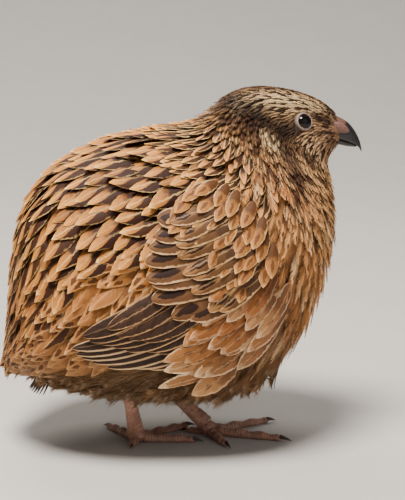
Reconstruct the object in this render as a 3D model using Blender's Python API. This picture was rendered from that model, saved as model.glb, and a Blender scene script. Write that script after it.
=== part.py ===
# A still, life-size coturnix quail, standing with its left foot forward.
# The bird faces +X, its right side is -Y, and it stands on z = 0.
# Sizes are in millimetres until the last step, which makes the meshes in metres.

import math

import bmesh
import bpy
import numpy as np
from mathutils import Vector

MM = 0.001
GAP = 0.3
SIDES = ((-1, "right"), (1, "left"))

# Body plan: chords across the side view, from the rump to the bill.
# Each row has the back point (x, z), the belly point (x, z) and the half width there.
BODY_PLAN = [
    ((-63.0, 30.0), (-60.5, 26.5), 7.0),
    ((-61.8, 42.0), (-47.0, 24.5), 22.0),
    ((-60.5, 55.0), (-31.0, 20.5), 31.5),
    ((-59.0, 69.0), (-13.0, 18.5), 37.5),
    ((-55.0, 85.0), (5.0, 17.5), 40.5),
    ((-45.0, 98.0), (20.0, 19.5), 41.5),
    ((-31.5, 105.5), (31.0, 26.5), 41.0),
    ((-18.5, 109.7), (40.0, 36.5), 40.0),
    ((-7.5, 111.6), (46.5, 49.0), 37.5),
    ((1.8, 113.2), (51.0, 64.0), 33.5),
    ((8.5, 116.6), (53.0, 82.0), 26.5),
    ((13.8, 121.0), (51.0, 96.0), 18.5),
    ((19.5, 124.0), (50.5, 97.8), 14.2),
    ((26.0, 125.2), (50.8, 99.3), 12.3),
    ((32.5, 124.8), (51.2, 100.8), 10.7),
    ((39.0, 123.6), (51.8, 102.0), 9.0),
    ((45.0, 121.6), (52.6, 103.0), 7.6),
    ((50.0, 118.8), (53.6, 103.9), 5.9),
    ((54.0, 115.2), (55.0, 104.8), 4.0),
]
FULLNESS = 2.25
NECK_START = 9.3
NECK_END = 12.0
BILL_START = 18.0
RING_POINTS = 32
TORSO_RINGS = 27
NECK_RINGS = 9
HEAD_RINGS = 17

# Eyes: the pupil's place in the side view, how deep the ball's centre lies, and the rim of bare skin
# round it, as radii and angles from the line of sight.
EYE_AT = (41.9, 113.7)
EYE_DEPTH = 1.7
EYE_RADIUS = 3.3
LID_SECTION = [(3.1, 43.0), (3.95, 44.0), (4.2, 54.0), (4.1, 70.0), (3.1, 80.0)]
GAPE_LINE = [(55.6, 106.7), (53.0, 106.9), (50.5, 107.1), (48.2, 107.5)]
GAPE_GROOVE = 0.32
GROOVE_DEPTH = 0.51
LID_STEPS = 22

# Bill outlines in the side view (x, z), and half widths along them.
CULMEN = [(54.35, 114.9), (57.5, 112.9), (60.2, 109.6), (62.0, 106.0), (62.9, 102.6)]
GAPE_EDGE = [(55.1, 107.0), (57.6, 105.9), (60.2, 104.8), (61.9, 103.6), (62.6, 102.2)]
MOUTH_EDGE = [(55.15, 106.6), (57.5, 105.5), (59.6, 104.6), (60.9, 104.0)]
CHIN_EDGE = [(55.3, 104.75), (57.2, 103.9), (59.0, 103.7), (60.4, 103.6)]
BILL_WIDTHS = [3.9, 3.1, 2.1, 1.2, 0.35]
LOWER_WIDTHS = [3.5, 2.7, 1.6, 0.5]

# Cross sections of the bill halves, as shares of their height and half width.
UPPER_SECTION = [(0.0, 0.0), (0.0, 0.85), (0.3, 1.0), (0.62, 0.8), (0.88, 0.42), (1.0, 0.0),
                 (0.88, -0.42), (0.62, -0.8), (0.3, -1.0), (0.0, -0.85)]
LOWER_SECTION = [(1.0, 0.0), (1.0, 0.85), (0.7, 1.0), (0.3, 0.75), (0.0, 0.3),
                 (0.0, -0.3), (0.3, -0.75), (0.7, -1.0), (1.0, -0.85)]

# Each nostril is a slit: its places along the bill and half heights there, its line and its depth.
NOSTRIL = [(55.8, 0.25), (56.6, 0.5), (57.6, 0.45), (58.3, 0.2)]
NOSTRIL_HEIGHT = 109.5
NOSTRIL_SLOPE = -0.35
NOSTRIL_WALLS = (2.2, 4.6)

# Wing, folded against the body's side.
# Its core is a plate under the coverts, given by its outline in the side view and its height over
# the body.
WING_CORE = [(26.0, 80.0), (20.0, 90.0), (6.0, 93.0), (-4.0, 85.0), (-6.5, 69.0), (-3.0, 57.0),
             (10.0, 55.0), (23.0, 65.0)]
CORE_RIM = 0.9
CORE_TOP = 2.8
CORE_SINK = -2.5
CORE_POINTS = 24
CORE_SHOULDER = 0.75
VANE_THICKNESS = 0.55
VANE_STATIONS = (0.0, 0.22, 0.5, 0.78, 0.93, 1.0)
VANE_PROFILE = (0.55, 0.85, 1.0, 0.9, 0.6, 0.22)

# Each tier: how many vanes, first and last root, first and last tip, widths, and height over the body
# at the root and the tip.
WING_TIERS = {
    "primary": dict(count=7, roots=((-1.0, 56.5), (4.0, 56.0)), tips=((-38.5, 42.8), (-14.0, 37.5)),
                    widths=(5.4, 5.0), lifts=(1.0, 0.7)),
    "secondary": dict(count=7, roots=((-3.0, 64.0), (11.0, 58.5)), tips=((-33.5, 47.5), (-3.5, 40.5)),
                      widths=(6.8, 6.6), lifts=(2.0, 1.8)),
    "tertial": dict(count=5, roots=((1.0, 84.0), (6.0, 65.0)), tips=((-14.5, 71.0), (-14.0, 52.5)),
                    widths=(8.6, 9.0), lifts=(2.0, 2.6)),
    "greater_covert": dict(count=7, roots=((5.0, 82.0), (20.0, 64.0)), tips=((-9.0, 65.5), (10.0, 49.0)),
                           widths=(7.4, 7.0), lifts=(1.5, 3.2)),
    "median_covert": dict(count=6, roots=((9.0, 88.0), (22.5, 72.0)), tips=((-3.0, 76.0), (16.0, 59.0)),
                          widths=(7.6, 7.2), lifts=(1.3, 3.6)),
}
VANE_TILT = 0.11

# Tail: short drooping feathers under the rump.
TAIL_COUNT = 8
TAIL_ROOT = (-43.0, 32.0)
TAIL_TIP = (-51.0, 18.0)
TAIL_SPREAD = 13.0
TAIL_ROOT_SPREAD = 4.5
TAIL_OUTER_TIP = (3.5, 0.0, 1.6)
TAIL_FEATHER_WIDTH = 6.0
TAIL_THICKNESS = 0.7
TAIL_STACK = 2.0
TAIL_BOW = 1.2
TAIL_SLANT = 0.35
# The fleshy root of the tail: middle (x, z), half length and half width of each ring.
TAIL_STUMP = [(-44.0, 32.5, 4.5, 8.0), (-47.3, 27.0, 3.8, 7.0), (-48.8, 24.5, 2.4, 5.0)]
TAIL_STUMP_RISE = 0.25
TAIL_STUMP_SIDES = 14

# Legs: ankle in the belly feathers, the foot's centre, and each toe's tip on the floor.
TARSUS_RADIUS = 2.45
TARSUS_FLATTEN = 0.86
TARSUS_SIDES = 10
TARSUS_SHAPE = [(0.0, 1.15), (0.25, 1.02), (0.55, 0.95), (0.78, 1.0), (0.9, 1.1), (0.97, 1.18), (1.0, 1.1)]
PAD_RADIUS = 3.3
PAD_HEIGHT = 2.6
PAD_SQUASH = 0.8
TOE_START = 4.0
LONG_TOE = 16.0
TOE_TAPER = 0.28
TOE_BULGE = 0.1
TOE_SIDES = 8
CLAW_SIDES = 6
CLAW_WIDTH = 0.54
# Rings of a claw: share of its length, thickness and rise of the middle, in shares of its radius.
CLAW_SHAPE = [(0.0, 1.0, 1.2), (0.35, 0.85, 1.3), (0.7, 0.5, 0.95)]
CLAW_POINT = 0.25
LEGS = {
    "right": dict(ankle=(-20.5, -12.5, 26.0), foot=(-16.5, -4.0, 3.3), toes={
        "inner": dict(tip=(-28.0, 16.0), radius=1.55, claw=4.0),
        "middle": dict(tip=(5.5, 14.5), radius=1.7, claw=4.5),
        "outer": dict(tip=(7.5, -6.5), radius=1.6, claw=4.0),
        "hind": dict(tip=(-19.0, -13.5), radius=1.2, claw=2.6)}),
    "left": dict(ankle=(-13.0, 12.0, 23.0), foot=(9.5, 3.0, 3.3), toes={
        "inner": dict(tip=(16.0, -15.5), radius=1.55, claw=4.0),
        "middle": dict(tip=(38.5, -8.5), radius=1.7, claw=4.5),
        "outer": dict(tip=(35.5, 18.0), radius=1.6, claw=4.0),
        "hind": dict(tip=(-0.5, 7.5), radius=1.2, claw=2.6)}),
}

COLOURS = {
    "feather": (0.55, 0.36, 0.18, 1.0),
    "breast": (0.62, 0.34, 0.16, 1.0),
    "flight": (0.13, 0.09, 0.06, 1.0),
    "bill": (0.05, 0.04, 0.04, 1.0),
    "leg": (0.55, 0.32, 0.24, 1.0),
    "claw": (0.18, 0.11, 0.08, 1.0),
    "eye": (0.015, 0.01, 0.008, 1.0),
}


# Materials

def material(kind, roughness):
    """The finish of one kind of sub-part, made once."""
    made = bpy.data.materials.get(kind)
    if made is None:
        made = bpy.data.materials.new(kind)
        made.use_nodes = True
        shader = made.node_tree.nodes["Principled BSDF"]
        shader.inputs["Base Color"].default_value = COLOURS[kind]
        shader.inputs["Roughness"].default_value = roughness
        shader.inputs["Metallic"].default_value = 0.0
    return made


# Meshes

def new_object(name, points, faces, kind=None, roughness=0.7):
    """A closed mesh from points in millimetres, with its faces turned outwards."""
    mesh = bpy.data.meshes.new(name)
    mesh.from_pydata([tuple(MM * c for c in p) for p in points], [], faces)
    tidy = bmesh.new()
    tidy.from_mesh(mesh)
    bmesh.ops.recalc_face_normals(tidy, faces=tidy.faces)
    tidy.to_mesh(mesh)
    tidy.free()
    made = bpy.data.objects.new(name, mesh)
    bpy.context.scene.collection.objects.link(made)
    if kind:
        mesh.materials.append(material(kind, roughness))
        mesh.shade_smooth()
        mesh.set_sharp_from_angle(angle=math.radians(35))
    return made


def tube(rings, closed_tip=None):
    """Points and faces of stacked rings with flat ends, or a point at the far end."""
    count = len(rings[0])
    points = [tuple(p) for ring in rings for p in ring]
    faces = [tuple(reversed(range(count)))]
    for k in range(len(rings) - 1):
        for i in range(count):
            j = (i + 1) % count
            faces.append((k * count + i, k * count + j, (k + 1) * count + j, (k + 1) * count + i))
    last = (len(rings) - 1) * count
    if closed_tip is None:
        faces.append(tuple(last + i for i in range(count)))
    else:
        points.append(tuple(closed_tip))
        faces += [(last + i, last + (i + 1) % count, len(points) - 1) for i in range(count)]
    return points, faces


def boolean(target, others, operation):
    """Applies one Boolean with a collection of closed meshes, and removes them."""
    group = bpy.data.collections.new("group_" + target.name)
    bpy.context.scene.collection.children.link(group)
    for other in others:
        for holder in list(other.users_collection):
            holder.objects.unlink(other)
        group.objects.link(other)
    modifier = target.modifiers.new("fuse", "BOOLEAN")
    modifier.operation = operation
    modifier.operand_type = "COLLECTION"
    modifier.collection = group
    modifier.solver = "EXACT"
    with bpy.context.temp_override(object=target, active_object=target, selected_objects=[target]):
        bpy.ops.object.modifier_apply(modifier=modifier.name)
    for other in list(group.objects):
        bpy.data.objects.remove(other)
    bpy.data.collections.remove(group)
    keep_largest(target)


def keep_largest(target):
    """Leaves only the largest closed surface of a mesh."""
    shape = bmesh.new()
    shape.from_mesh(target.data)
    unseen = set(shape.verts)
    best, most = set(), -1.0
    while unseen:
        stack = [unseen.pop()]
        island = set(stack)
        while stack:
            for edge in stack.pop().link_edges:
                for vertex in edge.verts:
                    if vertex not in island:
                        island.add(vertex)
                        stack.append(vertex)
        unseen -= island
        corners = [v.co for v in island]
        size = sum(max(c[i] for c in corners) - min(c[i] for c in corners) for i in range(3))
        if size > most:
            best, most = island, size
    bmesh.ops.delete(shape, geom=[v for v in shape.verts if v not in best], context="VERTS")
    bmesh.ops.triangulate(shape, faces=shape.faces)
    shape.to_mesh(target.data)
    shape.free()


# The body's smooth surface

def spline(values, t):
    """A smooth curve through evenly spaced values, read at t."""
    k = min(int(t), len(values) - 2)
    u = t - k
    a, b, c, d = (np.asarray(values[min(max(k + i, 0), len(values) - 1)], float) for i in (-1, 0, 1, 2))
    return 0.5 * (2 * b + (c - a) * u + (2 * a - 5 * b + 4 * c - d) * u * u + (3 * b - a - 3 * c + d) * u ** 3)


def chord(t):
    """The back point, the belly point and the half width at one station of the body plan."""
    back = spline([row[0] for row in BODY_PLAN], t)
    belly = spline([row[1] for row in BODY_PLAN], t)
    width = float(spline([(row[2],) for row in BODY_PLAN], t)[0])
    return back, belly, width


def side_table(samples=181):
    """The chords at closely spaced stations, for looking up the body's width from the side view."""
    rows = [chord(t) for t in np.linspace(0.0, len(BODY_PLAN) - 1, samples)]
    return tuple(np.array([row[i] for row in rows]) for i in range(3))


SIDE_TABLE = side_table()


def ring(t, grow=0.0, forward=0.0):
    """One cross section of the body, made larger or moved along the body by a distance."""
    back, belly, width = chord(t)
    middle = (back + belly) / 2
    half = np.linalg.norm(back - belly) / 2
    along = (back - belly) / (2 * half)
    onward = np.array([along[1], -along[0]])
    points = []
    for i in range(RING_POINTS):
        angle = 2 * math.pi * i / RING_POINTS
        c, s = math.cos(angle), math.sin(angle)
        high = math.copysign(abs(c) ** (2 / FULLNESS), c) * (half + grow)
        wide = math.copysign(abs(s) ** (2 / FULLNESS), s) * (width + grow)
        x, z = middle + along * high + onward * forward
        points.append((x, wide, z))
    return points


def body_length(name, first, last, count, kind=None, grow=0.0, gap=0.0):
    """A length of the body between two stations, its first section set back by a gap."""
    stations = np.linspace(first, last, count)
    rings = [ring(t, grow, gap if k == 0 else 0.0) for k, t in enumerate(stations)]
    return new_object(name, *tube(rings), kind)


def torso_clearance(name):
    """The torso made larger by the gap, to cut clear what lies against it."""
    return body_length(name, 0.0, NECK_START, TORSO_RINGS, grow=GAP)


def side_height(x, z):
    """How far the body reaches sideways at a point of the side view."""
    backs, bellies, widths = SIDE_TABLE
    runs = backs - bellies
    across = runs[:, 0] * (z - bellies[:, 1]) - runs[:, 1] * (x - bellies[:, 0])
    k = int(np.clip(np.searchsorted(across > 0, True), 1, len(across) - 1))
    share = float(np.clip(-across[k - 1] / (across[k] - across[k - 1]), 0.0, 1.0))
    back, belly, width = (table[k - 1] + (table[k] - table[k - 1]) * share for table in SIDE_TABLE)
    half = np.linalg.norm(back - belly) / 2
    along = (back - belly) / (2 * half)
    reach = abs(float(np.dot(np.array([x, z]) - (back + belly) / 2, along))) / half
    return float(width) * max(1 - min(reach, 0.985) ** FULLNESS, 0.02) ** (1 / FULLNESS)


def on_side(x, z, lift, side):
    """A point lifted off the body's side, along the surface's normal."""
    step = 1.0
    slope_x = (side_height(x + step, z) - side_height(x - step, z)) / (2 * step)
    slope_z = (side_height(x, z + step) - side_height(x, z - step)) / (2 * step)
    normal = np.array([-slope_x, 1.0, -slope_z])
    normal /= np.linalg.norm(normal)
    point = np.array([x, side_height(x, z), z]) + lift * normal
    return (point[0], side * point[1], point[2])


# Feathers

def vane(name, root, tip, width, side, lifts):
    """A closed blade that lies on the body's side, widest past its middle and thin at its tip."""
    root, tip = np.array(root, float), np.array(tip, float)
    run = tip - root
    across = np.array([-run[1], run[0]]) / np.linalg.norm(run)
    rings = []
    for s, share in zip(VANE_STATIONS, VANE_PROFILE):
        middle = root + run * s
        half = width / 2 * share
        edges = [middle - across * half, middle + across * half]
        lift = lifts[0] + (lifts[1] - lifts[0]) * s
        rises = [lift - VANE_TILT * half, lift + VANE_TILT * half]
        thick = VANE_THICKNESS * (1 - 0.2 * s)
        under = [on_side(*edge, rise, side) for edge, rise in zip(edges, rises)]
        over = [on_side(*edge, rise + thick, side) for edge, rise in zip(edges, rises)]
        rings.append([under[0], under[1], over[1], over[0]])
    return new_object(name, *tube(rings))


def between(pair, share):
    """A point on the way from the first to the second of a pair."""
    return tuple(a + (b - a) * share for a, b in zip(*pair))


def tier(name, plan, side):
    """One row of a wing's feathers, from the body's back towards its belly."""
    count = plan["count"]
    blades = []
    for i in range(count):
        share = i / (count - 1)
        width = plan["widths"][0] + (plan["widths"][1] - plan["widths"][0]) * share
        blades.append(vane(f"{name}_{i}", between(plan["roots"], share), between(plan["tips"], share),
                           width, side, plan["lifts"]))
    return blades


def wing_core(name, side):
    """The covered part of the wing: a plate with a rounded outline that follows the body's side."""
    centre = np.mean(WING_CORE, axis=0)
    count = len(WING_CORE)
    outline = [spline(WING_CORE[-1:] + WING_CORE + WING_CORE[:2], 1 + count * i / CORE_POINTS)
               for i in range(CORE_POINTS)]
    points, faces = [], []
    for middle_level, rim_level in ((CORE_SINK, CORE_SINK), (CORE_TOP, CORE_RIM)):
        points.append(on_side(*centre, middle_level, side))
        for share, level in ((CORE_SHOULDER, middle_level), (1.0, rim_level)):
            points += [on_side(*(centre + (p - centre) * share), level, side) for p in outline]
    layer = 1 + 2 * CORE_POINTS
    for i in range(CORE_POINTS):
        j = (i + 1) % CORE_POINTS
        for base in (0, layer):
            inner, outer = base + 1, base + 1 + CORE_POINTS
            faces.append((base, inner + i, inner + j))
            faces.append((inner + i, outer + i, outer + j, inner + j))
        rim = 1 + CORE_POINTS
        faces.append((rim + i, rim + j, layer + rim + j, layer + rim + i))
    return new_object(name, points, faces, "flight")


def make_wing(name, side):
    wing = wing_core(name, side)
    blades = []
    for tier_name, plan in WING_TIERS.items():
        blades += tier(f"{name}_{tier_name}", plan, side)
    boolean(wing, blades, "UNION")
    boolean(wing, [torso_clearance(name + "_cut")], "DIFFERENCE")


def tail_feather(name, share):
    """One tail blade, drooping from under the rump; share runs from -1 at the right to 1 at the left."""
    root = np.array([TAIL_ROOT[0], TAIL_ROOT_SPREAD * share, TAIL_ROOT[1]])
    tip = np.array([TAIL_TIP[0], TAIL_SPREAD * share, TAIL_TIP[1]])
    tip += np.array(TAIL_OUTER_TIP) * share ** 2
    run = tip - root
    out = np.cross(run, (0.0, 1.0, 0.0))
    out /= np.linalg.norm(out)
    across = np.cross(out, run)
    across /= np.linalg.norm(across)
    thick = out * TAIL_THICKNESS
    layer = TAIL_STACK * (1 - abs(share))
    rings = []
    for s, part in zip(VANE_STATIONS, VANE_PROFILE):
        middle = root + run * s - out * (layer + TAIL_BOW * math.sin(math.pi * s / 2))
        half = TAIL_FEATHER_WIDTH / 2 * part
        edge = across * half + out * TAIL_SLANT * half
        rings.append([middle - edge, middle + edge, middle + edge + thick, middle - edge + thick])
    return new_object(name, *tube(rings))


def make_tail(name):
    turns = [2 * math.pi * i / TAIL_STUMP_SIDES for i in range(TAIL_STUMP_SIDES)]
    rings = []
    for x, z, half_length, half_width in TAIL_STUMP:
        rings.append([(x + half_length * math.cos(a), half_width * math.sin(a),
                       z + TAIL_STUMP_RISE * half_length * math.cos(a)) for a in turns])
    tail = new_object(name, *tube(rings), "flight")
    feathers = [tail_feather(f"{name}_feather_{i}", 2 * i / (TAIL_COUNT - 1) - 1) for i in range(TAIL_COUNT)]
    boolean(tail, feathers, "UNION")
    boolean(tail, [torso_clearance(name + "_cut")], "DIFFERENCE")


# Head

def eye_centre(side, depth=EYE_DEPTH):
    """The eyeball's centre, sunk under the face along the line of sight."""
    return Vector(on_side(*EYE_AT, -depth, side))


def ball(name, centre, radius, kind=None, segments=20, rings=12):
    """A sphere with its poles at the bird's sides."""
    shape = bmesh.new()
    bmesh.ops.create_uvsphere(shape, u_segments=segments, v_segments=rings, radius=radius * MM)
    turn = Vector((0, 0, 1)).rotation_difference(Vector((0, 1, 0))).to_matrix()
    bmesh.ops.rotate(shape, verts=shape.verts, matrix=turn)
    bmesh.ops.translate(shape, verts=shape.verts, vec=Vector(centre) * MM)
    mesh = bpy.data.meshes.new(name)
    shape.to_mesh(mesh)
    shape.free()
    made = bpy.data.objects.new(name, mesh)
    bpy.context.scene.collection.objects.link(made)
    if kind:
        mesh.materials.append(material(kind, 0.1))
        mesh.shade_smooth()
    return made


def lid_ring(name, side):
    """The bare rim round one eye, lying on the eyeball and sunk in the face."""
    centre = eye_centre(side)
    outward = (eye_centre(side, 0.0) - centre).normalized()
    first = outward.orthogonal().normalized()
    second = outward.cross(first)
    points = []
    for i in range(LID_STEPS):
        turn = 2 * math.pi * i / LID_STEPS
        radial = first * math.cos(turn) + second * math.sin(turn)
        for radius, degrees in LID_SECTION:
            angle = math.radians(degrees)
            points.append(centre + (outward * math.cos(angle) + radial * math.sin(angle)) * radius)
    count = len(LID_SECTION)
    faces = []
    for k in range(LID_STEPS):
        n = (k + 1) % LID_STEPS
        for i in range(count):
            j = (i + 1) % count
            faces.append((k * count + i, k * count + j, n * count + j, n * count + i))
    return new_object(name, points, faces)


def gape_groove(name, side):
    """A thin rod along the corner of the mouth, which cuts its line into the cheek."""
    rings = []
    for x, z in GAPE_LINE:
        middle = Vector(on_side(x, z, 0.0, side))
        rings.append([middle + Vector((0.0, GROOVE_DEPTH * math.cos(a), GAPE_GROOVE * math.sin(a)))
                      for a in (2 * math.pi * i / 6 for i in range(6))])
    return new_object(name, *tube(rings))


def make_head(name):
    head = body_length(name, NECK_END, BILL_START, HEAD_RINGS, "feather", gap=GAP)
    boolean(head, [lid_ring(f"lid_{label}", side) for side, label in SIDES], "UNION")
    cuts = [ball(f"socket_{label}", eye_centre(side), EYE_RADIUS + GAP) for side, label in SIDES]
    cuts += [gape_groove(f"groove_{label}", side) for side, label in SIDES]
    boolean(head, cuts, "DIFFERENCE")


def bill_half(name, upper_edge, lower_edge, widths, section):
    """One half of the bill, lofted between two edges of the side view."""
    rings = []
    for (top_x, top_z), (low_x, low_z), width in zip(upper_edge, lower_edge, widths):
        rings.append([(low_x + (top_x - low_x) * high, width * wide, low_z + (top_z - low_z) * high)
                      for high, wide in section])
    return new_object(name, *tube(rings), "bill", 0.4)


def nostril_cut(name, side):
    inner, outer = (side * wall for wall in NOSTRIL_WALLS)
    rings = []
    for x, half in NOSTRIL:
        z = NOSTRIL_HEIGHT + NOSTRIL_SLOPE * (x - NOSTRIL[0][0])
        rings.append([(x, inner, z - half), (x, outer, z - half), (x, outer, z + half), (x, inner, z + half)])
    return new_object(name, *tube(rings))


def make_bill():
    upper = bill_half("bill_upper", CULMEN, GAPE_EDGE, BILL_WIDTHS, UPPER_SECTION)
    boolean(upper, [nostril_cut(f"nostril_{label}", side) for side, label in SIDES], "DIFFERENCE")
    bill_half("bill_lower", MOUTH_EDGE, CHIN_EDGE, LOWER_WIDTHS, LOWER_SECTION)


# Legs

def level_ring(centre, direction, radius, sides):
    """An upright ring across a level path, with one of its sides lying flat underneath."""
    across = Vector((-direction.y, direction.x, 0.0))
    turns = [2 * math.pi * (i + 0.5) / sides for i in range(sides)]
    return [centre + across * radius * math.cos(a) + Vector((0.0, 0.0, radius * math.sin(a))) for a in turns]


def make_tarsus(name, ankle, foot):
    """The bare shank, from inside the belly feathers down to the pad over the toes."""
    top, low = Vector(ankle), Vector(foot)
    direction = (low - top).normalized()
    front = direction.cross(Vector((0.0, 1.0, 0.0))).normalized()
    across = front.cross(direction).normalized()
    turns = [2 * math.pi * (i + 0.5) / TARSUS_SIDES for i in range(TARSUS_SIDES)]
    rings = []
    for s, swell in TARSUS_SHAPE:
        radius = TARSUS_RADIUS * swell
        rings.append([top.lerp(low, s) + across * radius * TARSUS_FLATTEN * math.cos(a)
                      + front * radius * math.sin(a) for a in turns])
    tarsus = new_object(name, *tube(rings), "leg")
    pad = ball(name + "_pad", (low.x, low.y, PAD_HEIGHT), PAD_RADIUS, segments=12, rings=8)
    for vertex in pad.data.vertices:
        squashed = (vertex.co.z - PAD_HEIGHT * MM) * PAD_SQUASH + PAD_HEIGHT * MM
        vertex.co.z = max(squashed, 0.0)
    boolean(tarsus, [pad], "UNION")
    boolean(tarsus, [torso_clearance(name + "_cut")], "DIFFERENCE")


def make_toe(name, foot, plan):
    """A toe with a pad under each joint and its flat sole on the floor, and its claw as a second solid."""
    start = Vector((foot[0], foot[1], 0.0))
    tip = Vector((*plan["tip"], 0.0))
    length = (tip - start).length
    direction = (tip - start).normalized()
    end = length - plan["claw"]
    joints = 3 if length > LONG_TOE else 2
    steps = 4 * joints
    rings = []
    for k in range(steps + 1):
        share = k / steps
        bulge = 1.0 + TOE_BULGE * math.cos(2 * math.pi * joints * share)
        radius = plan["radius"] * bulge * (1.0 - TOE_TAPER * share)
        centre = start + direction * (TOE_START + (end - TOE_START) * share)
        centre.z = radius * math.sin(math.pi * (TOE_SIDES / 2 - 1) / TOE_SIDES)
        rings.append(level_ring(centre, direction, radius, TOE_SIDES))
    new_object(name, *tube(rings), "leg")

    radius = plan["radius"] * CLAW_WIDTH
    rings = []
    for share, thick, rise in CLAW_SHAPE:
        centre = start + direction * (end + GAP + (plan["claw"] - GAP) * share)
        centre.z = radius * rise
        rings.append(level_ring(centre, direction, radius * thick, CLAW_SIDES))
    point = start + direction * length
    point.z = CLAW_POINT
    new_object(name + "_claw", *tube(rings, point), "claw", 0.45)


def main():
    for old in list(bpy.data.objects):
        bpy.data.objects.remove(old, do_unlink=True)

    body_length("torso", 0.0, NECK_START, TORSO_RINGS, "feather")
    body_length("neck", NECK_START, NECK_END, NECK_RINGS, "breast", gap=GAP)
    make_head("head")
    make_bill()
    for side, label in SIDES:
        ball("eye_" + label, eye_centre(side), EYE_RADIUS, "eye")
        make_wing("wing_" + label, side)
    make_tail("tail")
    for label, plan in LEGS.items():
        make_tarsus("leg_" + label, plan["ankle"], plan["foot"])
        for toe_name, toe in plan["toes"].items():
            make_toe(f"toe_{label}_{toe_name}", plan["foot"], toe)


main()
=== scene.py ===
import math
from functools import partial

import bpy
import numpy as np
from numpy import array, clip, cos, pi, sin, stack, where
from mathutils import Matrix, Vector


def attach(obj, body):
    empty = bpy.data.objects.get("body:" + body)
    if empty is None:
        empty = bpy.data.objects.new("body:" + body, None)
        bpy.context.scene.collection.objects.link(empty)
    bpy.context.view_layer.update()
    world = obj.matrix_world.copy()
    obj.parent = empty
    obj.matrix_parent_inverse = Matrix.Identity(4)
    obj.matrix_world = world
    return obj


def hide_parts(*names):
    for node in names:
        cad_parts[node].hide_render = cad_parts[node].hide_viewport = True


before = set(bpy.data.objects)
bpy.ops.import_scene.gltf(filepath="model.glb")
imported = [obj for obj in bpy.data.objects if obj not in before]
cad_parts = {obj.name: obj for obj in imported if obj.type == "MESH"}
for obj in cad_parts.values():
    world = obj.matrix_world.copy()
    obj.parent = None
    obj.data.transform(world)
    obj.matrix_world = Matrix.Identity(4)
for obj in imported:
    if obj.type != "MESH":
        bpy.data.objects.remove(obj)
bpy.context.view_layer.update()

# A still coturnix quail: one skin under a coat of feathers, wings, tail, eyes, bill, legs and claws.
# The bird faces +X and its right side is -Y. Places are in millimetres, and meshes are made in metres.

mm = 0.001
sides = {"Right": -1, "Left": 1}

# the body's plan: back point (x, z), belly point (x, z) and half width at each station, rump to bill
bodyPlan = [
    ((-63.0, 30.0), (-60.5, 26.5), 7.0), ((-61.8, 42.0), (-47.0, 24.5), 22.0),
    ((-60.5, 55.0), (-31.0, 20.5), 31.5), ((-59.0, 69.0), (-13.0, 18.5), 37.5),
    ((-55.0, 85.0), (5.0, 17.5), 40.5), ((-45.0, 98.0), (20.0, 19.5), 41.5),
    ((-31.5, 105.5), (31.0, 26.5), 41.0), ((-18.5, 109.7), (40.0, 36.5), 40.0),
    ((-7.5, 111.6), (46.5, 49.0), 37.5), ((1.8, 113.2), (51.0, 64.0), 33.5),
    ((8.5, 116.6), (53.0, 82.0), 26.5), ((13.8, 121.0), (51.0, 96.0), 18.5),
    ((19.5, 124.0), (50.5, 97.8), 14.2), ((26.0, 125.2), (50.8, 99.3), 12.3),
    ((32.5, 124.8), (51.2, 100.8), 10.7), ((39.0, 123.6), (51.8, 102.0), 9.0),
    ((45.0, 121.6), (52.6, 103.0), 7.6), ((50.0, 118.8), (53.6, 103.9), 5.9),
    ((54.0, 115.2), (55.0, 104.8), 4.0),
]
fullness = 2.25  # how square the body's sections are: 2 is an ellipse
lastStation = len(bodyPlan) - 1
coatDepths = ([0.0, 9.0, 11.0, 12.5, 18.0], [2.4, 2.4, 1.5, 0.8, 0.3])  # stations, and the skin's depth there
eyeAt = (41.2, 114.1)


# Curves and the body's surface

def curve(values, t):
    # a smooth curve through evenly spaced values, read at every t
    values = np.asarray(values, float)
    k = clip(np.floor(t).astype(int), 0, len(values) - 2)
    u = t - k
    if values.ndim > 1:
        u = u[..., None]
    a, b, c, d = (values[clip(k + i, 0, len(values) - 1)] for i in (-1, 0, 1, 2))
    return 0.5 * (2 * b + (c - a) * u + (2 * a - 5 * b + 4 * c - d) * u * u + (3 * b - a - 3 * c + d) * u ** 3)


planBacks, planBellies, planWidths = (array(column, float) for column in zip(*bodyPlan))


def chordAt(t):
    # the middle, half length and direction of the line from belly to back, and the body's half width
    back, belly = curve(planBacks, t), curve(planBellies, t)
    half = np.linalg.norm(back - belly, axis=-1) / 2
    return (back + belly) / 2, half, (back - belly) / (2 * half)[..., None], curve(planWidths, t)


def inSpace(flat, y=0.0):
    # a place of the side view as a point in space
    return stack([flat[..., 0], y + np.zeros_like(flat[..., 0]), flat[..., 1]], -1)


def bodyAt(t, angle, lift=0.0):
    # a point of the body: its station, its angle from the back (minus on the right), its height over the solid
    middle, half, along, width = chordAt(t)
    c, s = cos(angle), sin(angle)
    high = np.sign(c) * np.abs(c) ** (2 / fullness) * (half + lift)
    wide = np.sign(s) * np.abs(s) ** (2 / fullness) * (width + lift)
    return inSpace(middle + along * high[..., None], wide)


def unit(v):
    return v / np.maximum(np.linalg.norm(v, axis=-1, keepdims=True), 1e-9)


def frameAt(t, angle, lift=0.0):
    # the point, its outward normal, and how far the surface runs for one station and one radian
    step = 0.02
    point = bodyAt(t, angle, lift)
    alongStep = (bodyAt(t + step, angle, lift) - bodyAt(t - step, angle, lift)) / (2 * step)
    roundStep = (bodyAt(t, angle + step, lift) - bodyAt(t, angle - step, lift)) / (2 * step)
    normal = unit(np.cross(roundStep, alongStep))
    outward = point - inSpace(chordAt(t)[0])
    normal *= where(np.sum(normal * outward, axis=-1, keepdims=True) < 0, -1.0, 1.0)
    return point, normal, alongStep, roundStep


tableStations = np.linspace(0.0, lastStation, 361)
tableBellies = curve(planBellies, tableStations)
tableRuns = curve(planBacks, tableStations) - tableBellies


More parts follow.
